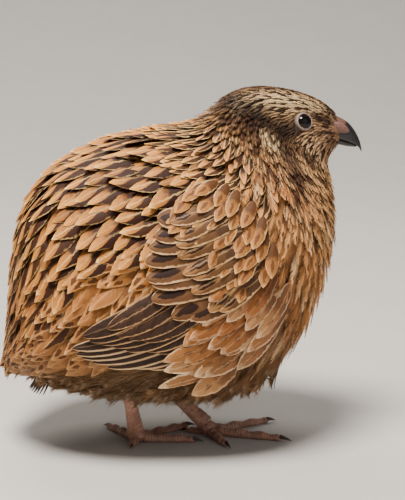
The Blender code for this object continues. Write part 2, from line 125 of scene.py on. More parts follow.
def stationOf(x, z):
    # the station and angle of points given in the side view
    x, z = np.asarray(x, float), np.asarray(z, float)
    level, upright = x[..., None] - tableBellies[:, 0], z[..., None] - tableBellies[:, 1]
    turned = tableRuns[:, 0] * upright - tableRuns[:, 1] * level
    k = clip(np.argmax(turned > 0, axis=-1), 1, len(tableStations) - 1)
    low, high = (np.take_along_axis(turned, index[..., None], -1)[..., 0] for index in (k - 1, k))
    share = clip(-low / (high - low), 0.0, 1.0)
    t = tableStations[k - 1] + (tableStations[k] - tableStations[k - 1]) * share
    middle, half, along, _ = chordAt(t)
    reach = clip(np.sum((stack([x, z], -1) - middle) * along, axis=-1) / half, -0.97, 0.97)
    return t, np.arccos(np.sign(reach) * np.abs(reach) ** (fullness / 2))


def coatDepth(t):
    return np.interp(t, *coatDepths)


# Colours

def display(red, green, blue):
    # a colour as a screen shows it, turned into the linear values that materials use
    c = array([red, green, blue]) / 255
    return where(c <= 0.04045, c / 12.92, ((c + 0.055) / 1.055) ** 2.4)


# the plumage's ground colours, with painted shade on the underside: station, degrees from the back, their spreads,
# colour, strength
dabs = [
    (2.0, 40, 2.2, 44, (142, 86, 38), 0.9), (3.5, 82, 2.4, 20, (166, 106, 54), 0.9),
    # the lower body's dabs, behind station 7 and past about 115 degrees, are darker than its own cream and buff:
    # painted shade of the underside
    (1.4, 98, 1.9, 28, (150, 106, 64), 0.9), (0.4, 124, 1.2, 60, (140, 106, 72), 0.9),
    (3.6, 116, 2.6, 20, (132, 96, 60), 0.9), (3.0, 155, 3.6, 40, (124, 100, 76), 1.0),
    (6.2, 168, 1.6, 32, (112, 88, 66), 0.9), (7.7, 112, 1.8, 40, (146, 84, 36), 1.0),
    (6.7, 138, 1.1, 22, (128, 94, 62), 0.9), (9.7, 130, 1.3, 70, (232, 162, 94), 1.0),
    (14.5, 100, 4.4, 120, (196, 148, 102), 0.9), (10.0, 54, 1.0, 50, (220, 144, 74), 0.9),
    (11.5, 24, 1.3, 42, (44, 26, 15), 1.0), (14.8, 0, 3.8, 17, (124, 82, 46), 1.0),
    (14.9, 45, 3.0, 26, (255, 216, 162), 1.0), (17.3, 60, 1.0, 12, (158, 112, 76), 0.8),
    (16.4, 78, 1.7, 10, (80, 50, 34), 1.0), (16.2, 96, 1.6, 8, (150, 106, 86), 0.9),
    (14.4, 109, 1.8, 14, (232, 182, 130), 0.95), (13.4, 126, 1.9, 22, (208, 164, 124), 0.9),
    (16.6, 134, 1.3, 34, (176, 132, 100), 0.9), (17.5, 28, 0.7, 50, (118, 80, 50), 0.9),
    (11.7, 124, 0.6, 30, (56, 34, 22), 1.0), (12.3, 88, 1.8, 16, (44, 27, 17), 1.0),
    (11.5, 61, 1.55, 27, (14, 8, 5), 1.0), (10.0, 96, 0.6, 24, (186, 118, 64), 0.8),
    (10.4, 101, 0.4, 10, (40, 24, 14), 1.0), (10.95, 93, 0.4, 9, (30, 18, 11), 1.0),
    # the last dab, a thin dark line back from the gape, is painted shade of the mouth's crease
    (10.95, 80, 0.34, 8, (255, 218, 160), 1.0), (16.0, 103, 2.2, 3.5, (56, 34, 24), 0.95),
]
groundColour = display(208, 136, 56)


def toneAt(t, angle):
    degrees = np.degrees(np.abs(angle))
    tone = np.tile(groundColour, t.shape + (1,))
    for station, at, spread, width, colour, strength in dabs:
        weight = strength * np.exp(-(((t - station) / spread) ** 2 + ((degrees - at) / width) ** 2) ** 1.5)
        tone += (display(*colour) - tone) * weight[..., None]
    return tone


# Materials

def addNode(tree, kind, inputs=(), **settings):
    # adds a node, links or sets the inputs given by name or number, and returns its outputs
    node = tree.nodes.new("ShaderNode" + kind)
    for label, value in settings.items():
        setattr(node, label, value)
    for key, value in dict(inputs).items():
        socket = node.inputs[key]
        if isinstance(value, bpy.types.NodeSocket):
            tree.links.new(value, socket)
        else:
            socket.default_value = (*value, 1.0) if socket.type == "RGBA" else value
    return node.outputs


def nodeMath(tree, operation, *values):
    return addNode(tree, "Math", enumerate(values), operation=operation)[0]


def nodeRamp(tree, value, low, high):
    # rises smoothly from 0 at low to 1 at high
    inputs = {"Value": value, "From Min": low, "From Max": high}
    return addNode(tree, "MapRange", inputs, interpolation_type="SMOOTHSTEP")["Result"]


def nodeMix(tree, share, first, second):
    return addNode(tree, "Mix", {0: share, 6: first, 7: second}, data_type="RGBA")[2]


def nodeNoise(tree, scale, detail=2.0, vector=None):
    # noise in object space, or along a given vector
    if vector is None:
        vector = addNode(tree, "TexCoord")["Object"]
    return addNode(tree, "TexNoise", {"Scale": scale, "Detail": detail, "Vector": vector})["Fac"]


def nodeScaled(tree, colour, factor):
    # a colour made lighter or darker by a factor
    return addNode(tree, "VectorMath", {0: colour, "Scale": factor}, operation="SCALE")[0]


def newMaterial(name, **sockets):
    made = bpy.data.materials.new(name)
    made.use_nodes = True
    shader = made.node_tree.nodes["Principled BSDF"]
    for label, value in sockets.items():
        shader.inputs[label.replace("_", " ")].default_value = value
    return made, made.node_tree, shader


def addSurface(tree, shader, colour, height, distance, strength=1.0):
    # the colour of a material and its fine relief
    tree.links.new(colour, shader.inputs["Base Color"])
    bump = addNode(tree, "Bump", {"Distance": distance, "Strength": strength, "Height": height})
    tree.links.new(bump["Normal"], shader.inputs["Normal"])


def mottledMaterial(name, first, second, scale, distance, **sockets):
    # two tones mixed by a fine noise, which also gives the relief
    made, tree, shader = newMaterial(name, **sockets)
    noise = nodeNoise(tree, scale, 3.0)
    addSurface(tree, shader, nodeMix(tree, noise, display(*first), display(*second)), noise, distance)
    return made


# a mark's strength comes first: base, the dark root, partly its own dark colour and partly painted shade under the
# feather above, and where it ends; web, a dark wedge, its place and slope; oval, a dark spot on the shaft, its place,
# half width and half length; pair, two spots beside the shaft, and their place; bars and their number; fringe, the
# pale edge, and where it starts; shaft, a pale line, its place and width
plainLook = dict(
    dark=(44, 30, 22), pale=(226, 200, 164), warm=0.0, wobble=0.25, base=(0.6, 0.35), web=(0.0, 0.1, 1.1),
    oval=(0.0, 0.62, 0.6, 0.2), pair=(0.0, 0.66), flanks=0.0, bars=(0.0, 8), fringe=(0.0, 0.8), tip=0.0,
    shaft=(0.0, 0.0, 0.14),
)
pairOut, pairSize = 0.45, (0.3, 0.11)  # a pair of spots: distance from the shaft, half width and half length
barbGrain = (70.0, 1.4, 60.0)  # noise along the vane, across it, and from feather to feather
barbGrainAndRootShade = (0.9, 0.35, 0.26)  # light by the barbs' noise, and painted shade that darkens the covered root: light gained towards the tip, light at the root
warmTone = display(150, 90, 44)


def featherMaterial(name, **changes):
    # a feather's markings, from its own map: across runs from 0 to 1 over the vane, along from root to tip
    look = {**plainLook, **changes}
    made, tree, shader = newMaterial(name, Roughness=0.62, Specular_IOR_Level=0.22)
    add, less, times, most = (partial(nodeMath, tree, kind) for kind in ("ADD", "SUBTRACT", "MULTIPLY", "MAXIMUM"))
    rise = partial(nodeRamp, tree)

    def fall(value, low, high):
        return less(1.0, rise(value, low, high))

    vane = addNode(tree, "SeparateXYZ", {0: addNode(tree, "UVMap", uv_map="vane")["UV"]})
    ground = addNode(tree, "Attribute", attribute_name="tone")["Color"]
    marks = addNode(tree, "Attribute", attribute_name="marks")["Color"]
    darkness, chance, paleness = addNode(tree, "SeparateColor", {0: marks})
    wobble = times(less(nodeNoise(tree, 700.0), 0.5), look["wobble"])
    signed = add(nodeMath(tree, "MULTIPLY_ADD", vane["X"], 2.0, -1.0), wobble)
    across = nodeMath(tree, "ABSOLUTE", signed)
    along = add(vane["Y"], times(wobble, 0.4))

    # the dark root: the feather's own dark base, and painted shade where the feather above covers it
    strength, at = look["base"]
    dark = times(strength, fall(along, at - 0.12, at + 0.12))
    strength, at, slope = look["web"]
    if strength:
        wedge = nodeMath(tree, "MULTIPLY_ADD", less(along, 0.7), -slope, signed)
        dark = most(dark, times(times(rise(wedge, at - 0.05, at + 0.05), fall(along, 0.84, 0.93)), strength))
    for (strength, at, wide, long), out in ((look["oval"], 0.0), (look["pair"] + pairSize, pairOut)):
        if strength:
            sideways = nodeMath(tree, "DIVIDE", less(across, out), wide)
            lengthways = nodeMath(tree, "DIVIDE", less(along, at), long)
            far = add(times(sideways, sideways), times(lengthways, lengthways))
            dark = most(dark, times(strength, fall(far, 0.7, 1.25)))
    if look["flanks"]:
        flanks = times(rise(across, 0.25, 0.42), fall(across, 0.7, 0.9))
        dark = most(dark, times(flanks, look["flanks"]))
    strength, number = look["bars"]
    if strength:
        wave = nodeMath(tree, "SINE", times(add(along, times(across, -0.12)), number * 2 * pi))
        dark = most(dark, times(rise(wave, 0.2, 0.7), strength))
    dark = times(dark, darkness)

    strength, at = look["fringe"]
    pale = most(times(strength, rise(across, at, at + 0.12)), times(look["tip"], rise(along, 0.86, 0.97)))
    strength, at, wide = look["shaft"]
    fromShaft = nodeMath(tree, "ABSOLUTE", less(signed, at))
    pale = times(most(pale, times(fall(fromShaft, wide * 0.4, wide), strength)), paleness)

    if look["warm"]:
        ground = nodeMix(tree, times(look["warm"], fall(along, 0.6, 0.9)), ground, warmTone)
    colour = nodeMix(tree, dark, ground, display(*look["dark"]))
    colour = nodeMix(tree, pale, colour, display(*look["pale"]))
    swept = less(along, times(across, 0.3))
    grain = [times(value, scale) for value, scale in zip((swept, signed, chance), barbGrain)]
    barbs = nodeNoise(tree, 1.0, 2.0, addNode(tree, "CombineXYZ", enumerate(grain))[0])
    byBarbs, shadeLiftToTip, shadedRootLight = barbGrainAndRootShade
    # the barbs' noise, and painted shade that darkens each feather towards its covered root
    light = nodeMath(tree, "MULTIPLY_ADD", barbs, byBarbs, nodeMath(tree, "MULTIPLY_ADD", along, shadeLiftToTip, shadedRootLight))
    addSurface(tree, shader, nodeScaled(tree, colour, light), barbs, 0.00012, 0.6)
    return made


# Meshes

def finishPiece(piece, material, replaced=()):
    piece.data.materials.clear()
    piece.data.materials.append(material)
    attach(piece, "root")
    if replaced:
        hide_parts(*replaced)


def addObject(name, data):
    made = bpy.data.objects.new(name, data)
    bpy.context.scene.collection.objects.link(made)
    return made


def readPoints(piece):
    co = np.empty(len(piece.data.vertices) * 3)
    piece.data.vertices.foreach_get("co", co)
    return co.reshape(-1, 3)


def wrapGrid(name, columns, rows, place):
    # a plane's grid wrapped onto a closed form: place(u, v) gives millimetres for both shares from 0 to 1,
    # and on scaly skin also how deep in a groove each point lies
    bpy.ops.object.select_all(action="DESELECT")
    bpy.ops.mesh.primitive_grid_add(x_subdivisions=columns, y_subdivisions=rows, size=2.0)
    piece = bpy.context.object
    piece.name = piece.data.name = name
    co = readPoints(piece)
    wrapped = place((co[:, 0] + 1) / 2, (co[:, 1] + 1) / 2)
    if isinstance(wrapped, tuple):
        wrapped, depth = wrapped
        layer = piece.data.attributes.new(name="groove", type="FLOAT", domain="POINT")
        layer.data.foreach_set("value", depth.astype(np.float32))
    piece.data.vertices.foreach_set("co", (wrapped * mm).astype(np.float32).ravel())
    piece.data.uv_layers[0].name = "surface"
    bpy.ops.object.mode_set(mode="EDIT")
    bpy.ops.mesh.select_all(action="SELECT")
    bpy.ops.mesh.remove_doubles(threshold=0.002 * mm)
    bpy.ops.mesh.normals_make_consistent(inside=False)
    bpy.ops.object.mode_set(mode="OBJECT")
    bpy.ops.object.shade_smooth()
    return piece


def closing(v, start, end, power):
    # how a form's two ends draw together: start and end say how suddenly, power how bluntly
    return clip(v * start, 0, 1) * clip((1 - v) * end, 0, 1) ** power


def paintPoints(piece, name, colours):
    layer = piece.data.color_attributes.new(name=name, type="FLOAT_COLOR", domain="POINT")
    full = np.ones((len(colours), 4), np.float32)
    full[:, :3] = colours
    layer.data.foreach_set("color", full.ravel())


def trianglePiece(name, points, triangles, vane, bake, tone, marks):
    # one mesh of many loose vanes, with its two maps and its two colours
    mesh = bpy.data.meshes.new(name)
    mesh.vertices.add(len(points))
    mesh.vertices.foreach_set("co", (points * mm).astype(np.float32).ravel())
    corners = triangles.astype(np.int32).ravel()
    mesh.loops.add(len(corners))
    mesh.loops.foreach_set("vertex_index", corners)
    mesh.polygons.add(len(triangles))
    mesh.polygons.foreach_set("loop_start", np.arange(0, len(corners), 3, dtype=np.int32))
    mesh.update(calc_edges=True)
    mesh.polygons.foreach_set("use_smooth", np.ones(len(triangles), bool))
    for label, values in (("OFBake", bake), ("vane", vane)):
        layer = mesh.uv_layers.new(name=label)
        layer.data.foreach_set("uv", values[corners].astype(np.float32).ravel())
    piece = addObject(name, mesh)
    paintPoints(piece, "tone", tone)
    paintPoints(piece, "marks", marks)
    return piece


# Feathers

stationsAlong = 9  # points along a feather's middle line
bakePatch = 0.003  # the side of a feather's patch in the map OFBake
rumpEdge = 0.25  # behind this station a feather leaves the body and goes on by itself
droop = array([0.0, 0.0, -0.12])
plainForm = dict(columns=8, tilt=0.0, roll=0.12, fluff=0.0)


def liftAt(lifts, share):
    return lifts[0] + (lifts[1] - lifts[0]) * share ** 0.7


def flowLines(t, angle, length, turn, lifts):
    # middle lines of feathers that follow the lie from their roots, and the normals along them
    side = where(angle < 0, -1.0, 1.0)
    step = length / (stationsAlong - 1)
    points, normals = [], []
    for k in range(stationsAlong):
        height = liftAt(lifts, k / (stationsAlong - 1))
        point, normal, alongStep, roundStep = frameAt(np.maximum(t, rumpEdge), angle, height)
        if k:
            beyond = (t < rumpEdge)[:, None]
            heading = unit(unit(points[-1] - before) + droop)
            point = where(beyond, points[-1] + heading * step[:, None], point)
            normal = where(beyond, normals[-1], normal)
        before = points[-1] if k else point + unit(alongStep) * step[:, None]
        points.append(point)
        normals.append(normal)
        t = t - step * cos(turn) / np.linalg.norm(alongStep, axis=-1)
        angle = angle + side * step * sin(turn) / np.linalg.norm(roundStep, axis=-1)
    return stack(points, 1), stack(normals, 1)


def sideLines(roots, tips, side, lifts, bow):
    # middle lines of feathers given by their ends in the side view, laid over the body's side
    share = np.linspace(0.0, 1.0, stationsAlong)
    run = tips - roots
    places = roots[:, None] + run[:, None] * share[None, :, None]
    cross = stack([-run[:, 1], run[:, 0]], -1)
    places = places + cross[:, None] * (bow * sin(pi * share))[None, :, None]
    t, angle = stationOf(places[..., 0], places[..., 1])
    point, normal, _, _ = frameAt(t, angle * side, liftAt(lifts, share[None, :]) + np.zeros_like(t))
    return point, normal, t[:, 0], angle[:, 0] * side


def outlineAt(along, peak, point):
    # a feather's half width as a share, from its root to its tip
    rise = 0.3 + 0.7 * np.sqrt(1 - (1 - clip(along / peak, 0, 1)) ** 2)
    past = clip((along - peak) / (1 - peak), 0, 1)
    return rise * (1 - past ** point[0]) ** point[1]


def barbShapes(widths, length, form, rng):
    # narrow blades that leave the shaft on both sides: places along and across, heights, map and triangles
    count, barbs, ragged = len(widths), form["barbs"], form["ragged"]
    start = (np.arange(barbs) + 0.3) / barbs * 0.95
    start = start[None, None, :] + np.zeros((count, 2, 1))
    hand = array([-1.0, 1.0])[None, :, None]
    reach = outlineAt(start, form["peak"], form["point"])
    end = start + form["sweep"] * widths[:, None, None] * reach / length[:, None, None]
    end = np.minimum(end + rng.normal(0, 0.125 * ragged, end.shape), 1.0 + 0.1 * ragged * rng.random(end.shape))
    half = widths[:, None, None] * outlineAt(np.minimum(end, 0.995), form["peak"], form["point"])
    half = half * (1 - ragged * rng.random(end.shape)) + 0.12 * rng.random(end.shape)
    thick = 0.95 / barbs * 0.85
    middle = start + (end - start) * 0.45
    alongs = stack([start - thick, start + thick, middle + thick, middle - thick * 0.8, end], -1)
    shares = array([0.0, 0.0, 0.55, 0.55, 1.0])
    across = hand[..., None] * shares + np.zeros_like(alongs)
    fluff = form["fluff"] * rng.normal(0, 1.0, end.shape)[..., None] * shares ** 2
    heights = array([0.0, 0.05, 0.04, 0.0, 0.02]) - form["camber"] * half[..., None] * shares ** 2 + fluff
    corners = np.arange(2 * barbs)[:, None, None] * 5 + array([[0, 1, 2], [0, 2, 3], [3, 2, 4]])
    shapes = (alongs, across, across * half[..., None], heights)
    return [part.reshape(count, -1) for part in shapes] + [corners.reshape(-1, 3)]


def vaneShapes(widths, length, form, rng):
    # a smooth curved vane in rows and columns, its edge slightly torn: the same five things
    count, rows, columns = len(widths), form["rows"], form["columns"]
    row = 1 - (1 - np.linspace(0.0, 1.0, rows + 1)) ** 1.5
    share = np.linspace(-1.0, 1.0, columns + 1)
    half = widths[:, None] * np.maximum(outlineAt(row, form["peak"], form["point"]), 0.03)
    torn = 1 - form["ragged"] * rng.random((count, rows + 1, 2))
    wide = half[..., None] * share * where(share < 0, torn[..., :1], torn[..., 1:])
    across = share + np.zeros_like(wide)
    alongs = row[None, :, None] * 0.995 + 0.02 * np.abs(share) * (1 - row[None, :, None]) + np.zeros_like(wide)
    wave = rng.normal(0, form["fluff"], (count, 1, 2))
    wave = wave * sin(row * 9 + rng.uniform(0, 6, (count, 1)))[..., None]
    heights = (-form["camber"] * half[..., None] * share ** 2 + 0.06 * (np.abs(share) < 0.01)
               + where(share < 0, wave[..., :1], wave[..., 1:]) * share ** 2)
    first = np.arange(rows)[:, None] * (columns + 1) + np.arange(columns)
    corners = stack([first, first + 1, first + columns + 2, first, first + columns + 2, first + columns + 1], -1)
    shapes = (alongs, across, wide, heights)
    return [part.reshape(count, -1) for part in shapes] + [corners.reshape(-1, 3)]


def layFeathers(name, points, normals, rootT, rootAngle, widths, tone, darkness, paleness, form, seed):
    # puts a feather's shape along every middle line
    rng = np.random.default_rng(seed)
    form = {**plainForm, **form}
    count = len(points)
    side = where(rootAngle < 0, -1.0, 1.0)
    heading = unit(np.gradient(points, axis=1))
    across = unit(np.cross(normals, heading)) * -side[:, None, None]
    roll = rng.normal(form["tilt"], form["roll"], count)[:, None, None]
    normals, across = normals * cos(roll) + across * sin(roll), across * cos(roll) - normals * sin(roll)
    length = np.linalg.norm(np.diff(points, axis=1), axis=-1).sum(1)
    shapes = vaneShapes if "rows" in form else barbShapes
    flat, share, sideways, heights, corners = shapes(widths, length, form, rng)

    place = clip(flat, 0.0, 1.0) * (stationsAlong - 1)
    low = clip(np.floor(place).astype(int), 0, stationsAlong - 2)
    part = (place - low)[..., None]
    past = (np.maximum(flat - 1.0, 0.0) * length[:, None])[..., None]

    def along(values):
        first = np.take_along_axis(values, low[..., None], 1)
        second = np.take_along_axis(values, low[..., None] + 1, 1)
        return first + (second - first) * part

    up = unit(along(normals))
    spots = along(points) + along(heading) * past + along(across) * sideways[..., None] + up * heights[..., None]
    perFeather = spots.shape[1]
    triangles = (np.arange(count)[:, None, None] * perFeather + corners).reshape(-1, 3)
    spots, up = spots.reshape(-1, 3), up.reshape(-1, 3)
    first, second, third = (spots[triangles[:, i]] for i in range(3))
    flip = np.sum(np.cross(second - first, third - first) * up[triangles[:, 0]], axis=-1) < 0
    triangles = where(flip[:, None], triangles[:, [0, 2, 1]], triangles)

    vane = stack([0.5 + 0.5 * share, clip(flat, 0, 1)], -1)
    bakeAt = stack([0.5 + rootAngle / (2 * pi) * 0.96, 0.02 + 0.96 * rootT / lastStation], -1)
    bake = bakeAt[:, None] + bakePatch * (vane - 0.5)
    marks = stack([darkness, rng.random(count), paleness], -1)
    return trianglePiece(name, spots, triangles, vane.reshape(-1, 2), bake.reshape(-1, 2),
                         np.repeat(tone, perFeather, 0), np.repeat(marks, perFeather, 0))


def scatter(spacing, spanT, spanDegrees, keep, seed):
    # roots at least a spacing apart, spread evenly over a stretch of the body on both sides
    rng = np.random.default_rng(seed)
    tries = 60000
    t = rng.uniform(*spanT, tries)
    degrees = rng.uniform(*spanDegrees, tries)
    angle = np.radians(degrees) * rng.choice([-1.0, 1.0], tries)
    point, _, alongStep, roundStep = frameAt(t, angle)
    area = np.linalg.norm(np.cross(alongStep, roundStep), axis=-1)
    kept = (rng.random(tries) * np.percentile(area, 98) < area) & keep(t, degrees)
    t, angle, point = t[kept], angle[kept], point[kept]
    cells = np.floor(point / spacing).astype(int)
    taken, chosen = {}, []
    for i, cell in enumerate(map(tuple, cells)):
        near = [j for a in (-1, 0, 1) for b in (-1, 0, 1) for c in (-1, 0, 1)
                for j in taken.get((cell[0] + a, cell[1] + b, cell[2] + c), ())]
        if all(np.dot(point[i] - point[j], point[i] - point[j]) > spacing * spacing for j in near):
            taken.setdefault(cell, []).append(i)
            chosen.append(i)
    return t[chosen], angle[chosen]


eyeStation, eyeAngle = (float(v) for v in stationOf(array(eyeAt[0]), array(eyeAt[1])))


def clearOfEye(t, angle, radius):
    eye = bodyAt(array(eyeStation), array(eyeAngle))
    point = bodyAt(t, np.abs(angle))
    return np.linalg.norm(point - eye, axis=-1) > radius


lieValues = dict(turn=4, shawlTurn=34, shawlAt=10.1, shawlSpread=0.75)


def lieTurn(t, degrees):
    # how far the lie turns from straight back towards the belly, in degrees: most on the neck's sides
    shawl = np.exp(-((t - lieValues["shawlAt"]) / lieValues["shawlSpread"]) ** 2)
    shawl = lieValues["shawlTurn"] * shawl * clip((degrees - 6) / 20, 0, 1) * clip((172 - degrees) / 30, 0, 1)
    return lieValues["turn"] + shawl


def streakChance(t, degrees):
    # how likely a feather of the head is dark: dashes in rows on the crown and brow, and scattered elsewhere
    rows = sin(degrees * 0.73 + 1.2 * sin(2.1 * t)) + 0.6 * sin(t * 7.0 + degrees * 0.4)
    brow = where(rows > 0.42 - 0.5 * (degrees < 28), 0.92, 0.06)
    return np.select([degrees < 72, (degrees < 100) & (t < 14.4)], [brow, 0.05], 0.25)


def within(t, degrees, outline):
    # true for places of the body's side that lie inside an outline of the side view
    place = bodyAt(t, np.radians(degrees))
    x, z = place[..., 0], place[..., 2]
    inside = np.zeros(x.shape, bool)
    for (xa, za), (xb, zb) in zip(outline, outline[1:] + outline[:1]):
        inside ^= ((za > z) != (zb > z)) & (x < (xb - xa) * (z - za) / (zb - za + 1e-9) + xa)
    return inside


shoulderOutline = [(-2, 91), (8, 98), (19, 95), (26, 86), (29, 76), (28, 64), (22, 61), (17, 70), (13, 79), (5, 84)]
flightOutline = [(-38, 46), (-30, 35.5), (-12, 33.5), (14, 41), (18, 58), (0, 62)]
wingOutline = [(0, 84), (6, 92), (16, 92), (26, 84), (28, 72), (20, 60), (2, 56), (-30, 43), (-36, 45), (-10, 56),
               (-1, 64)]

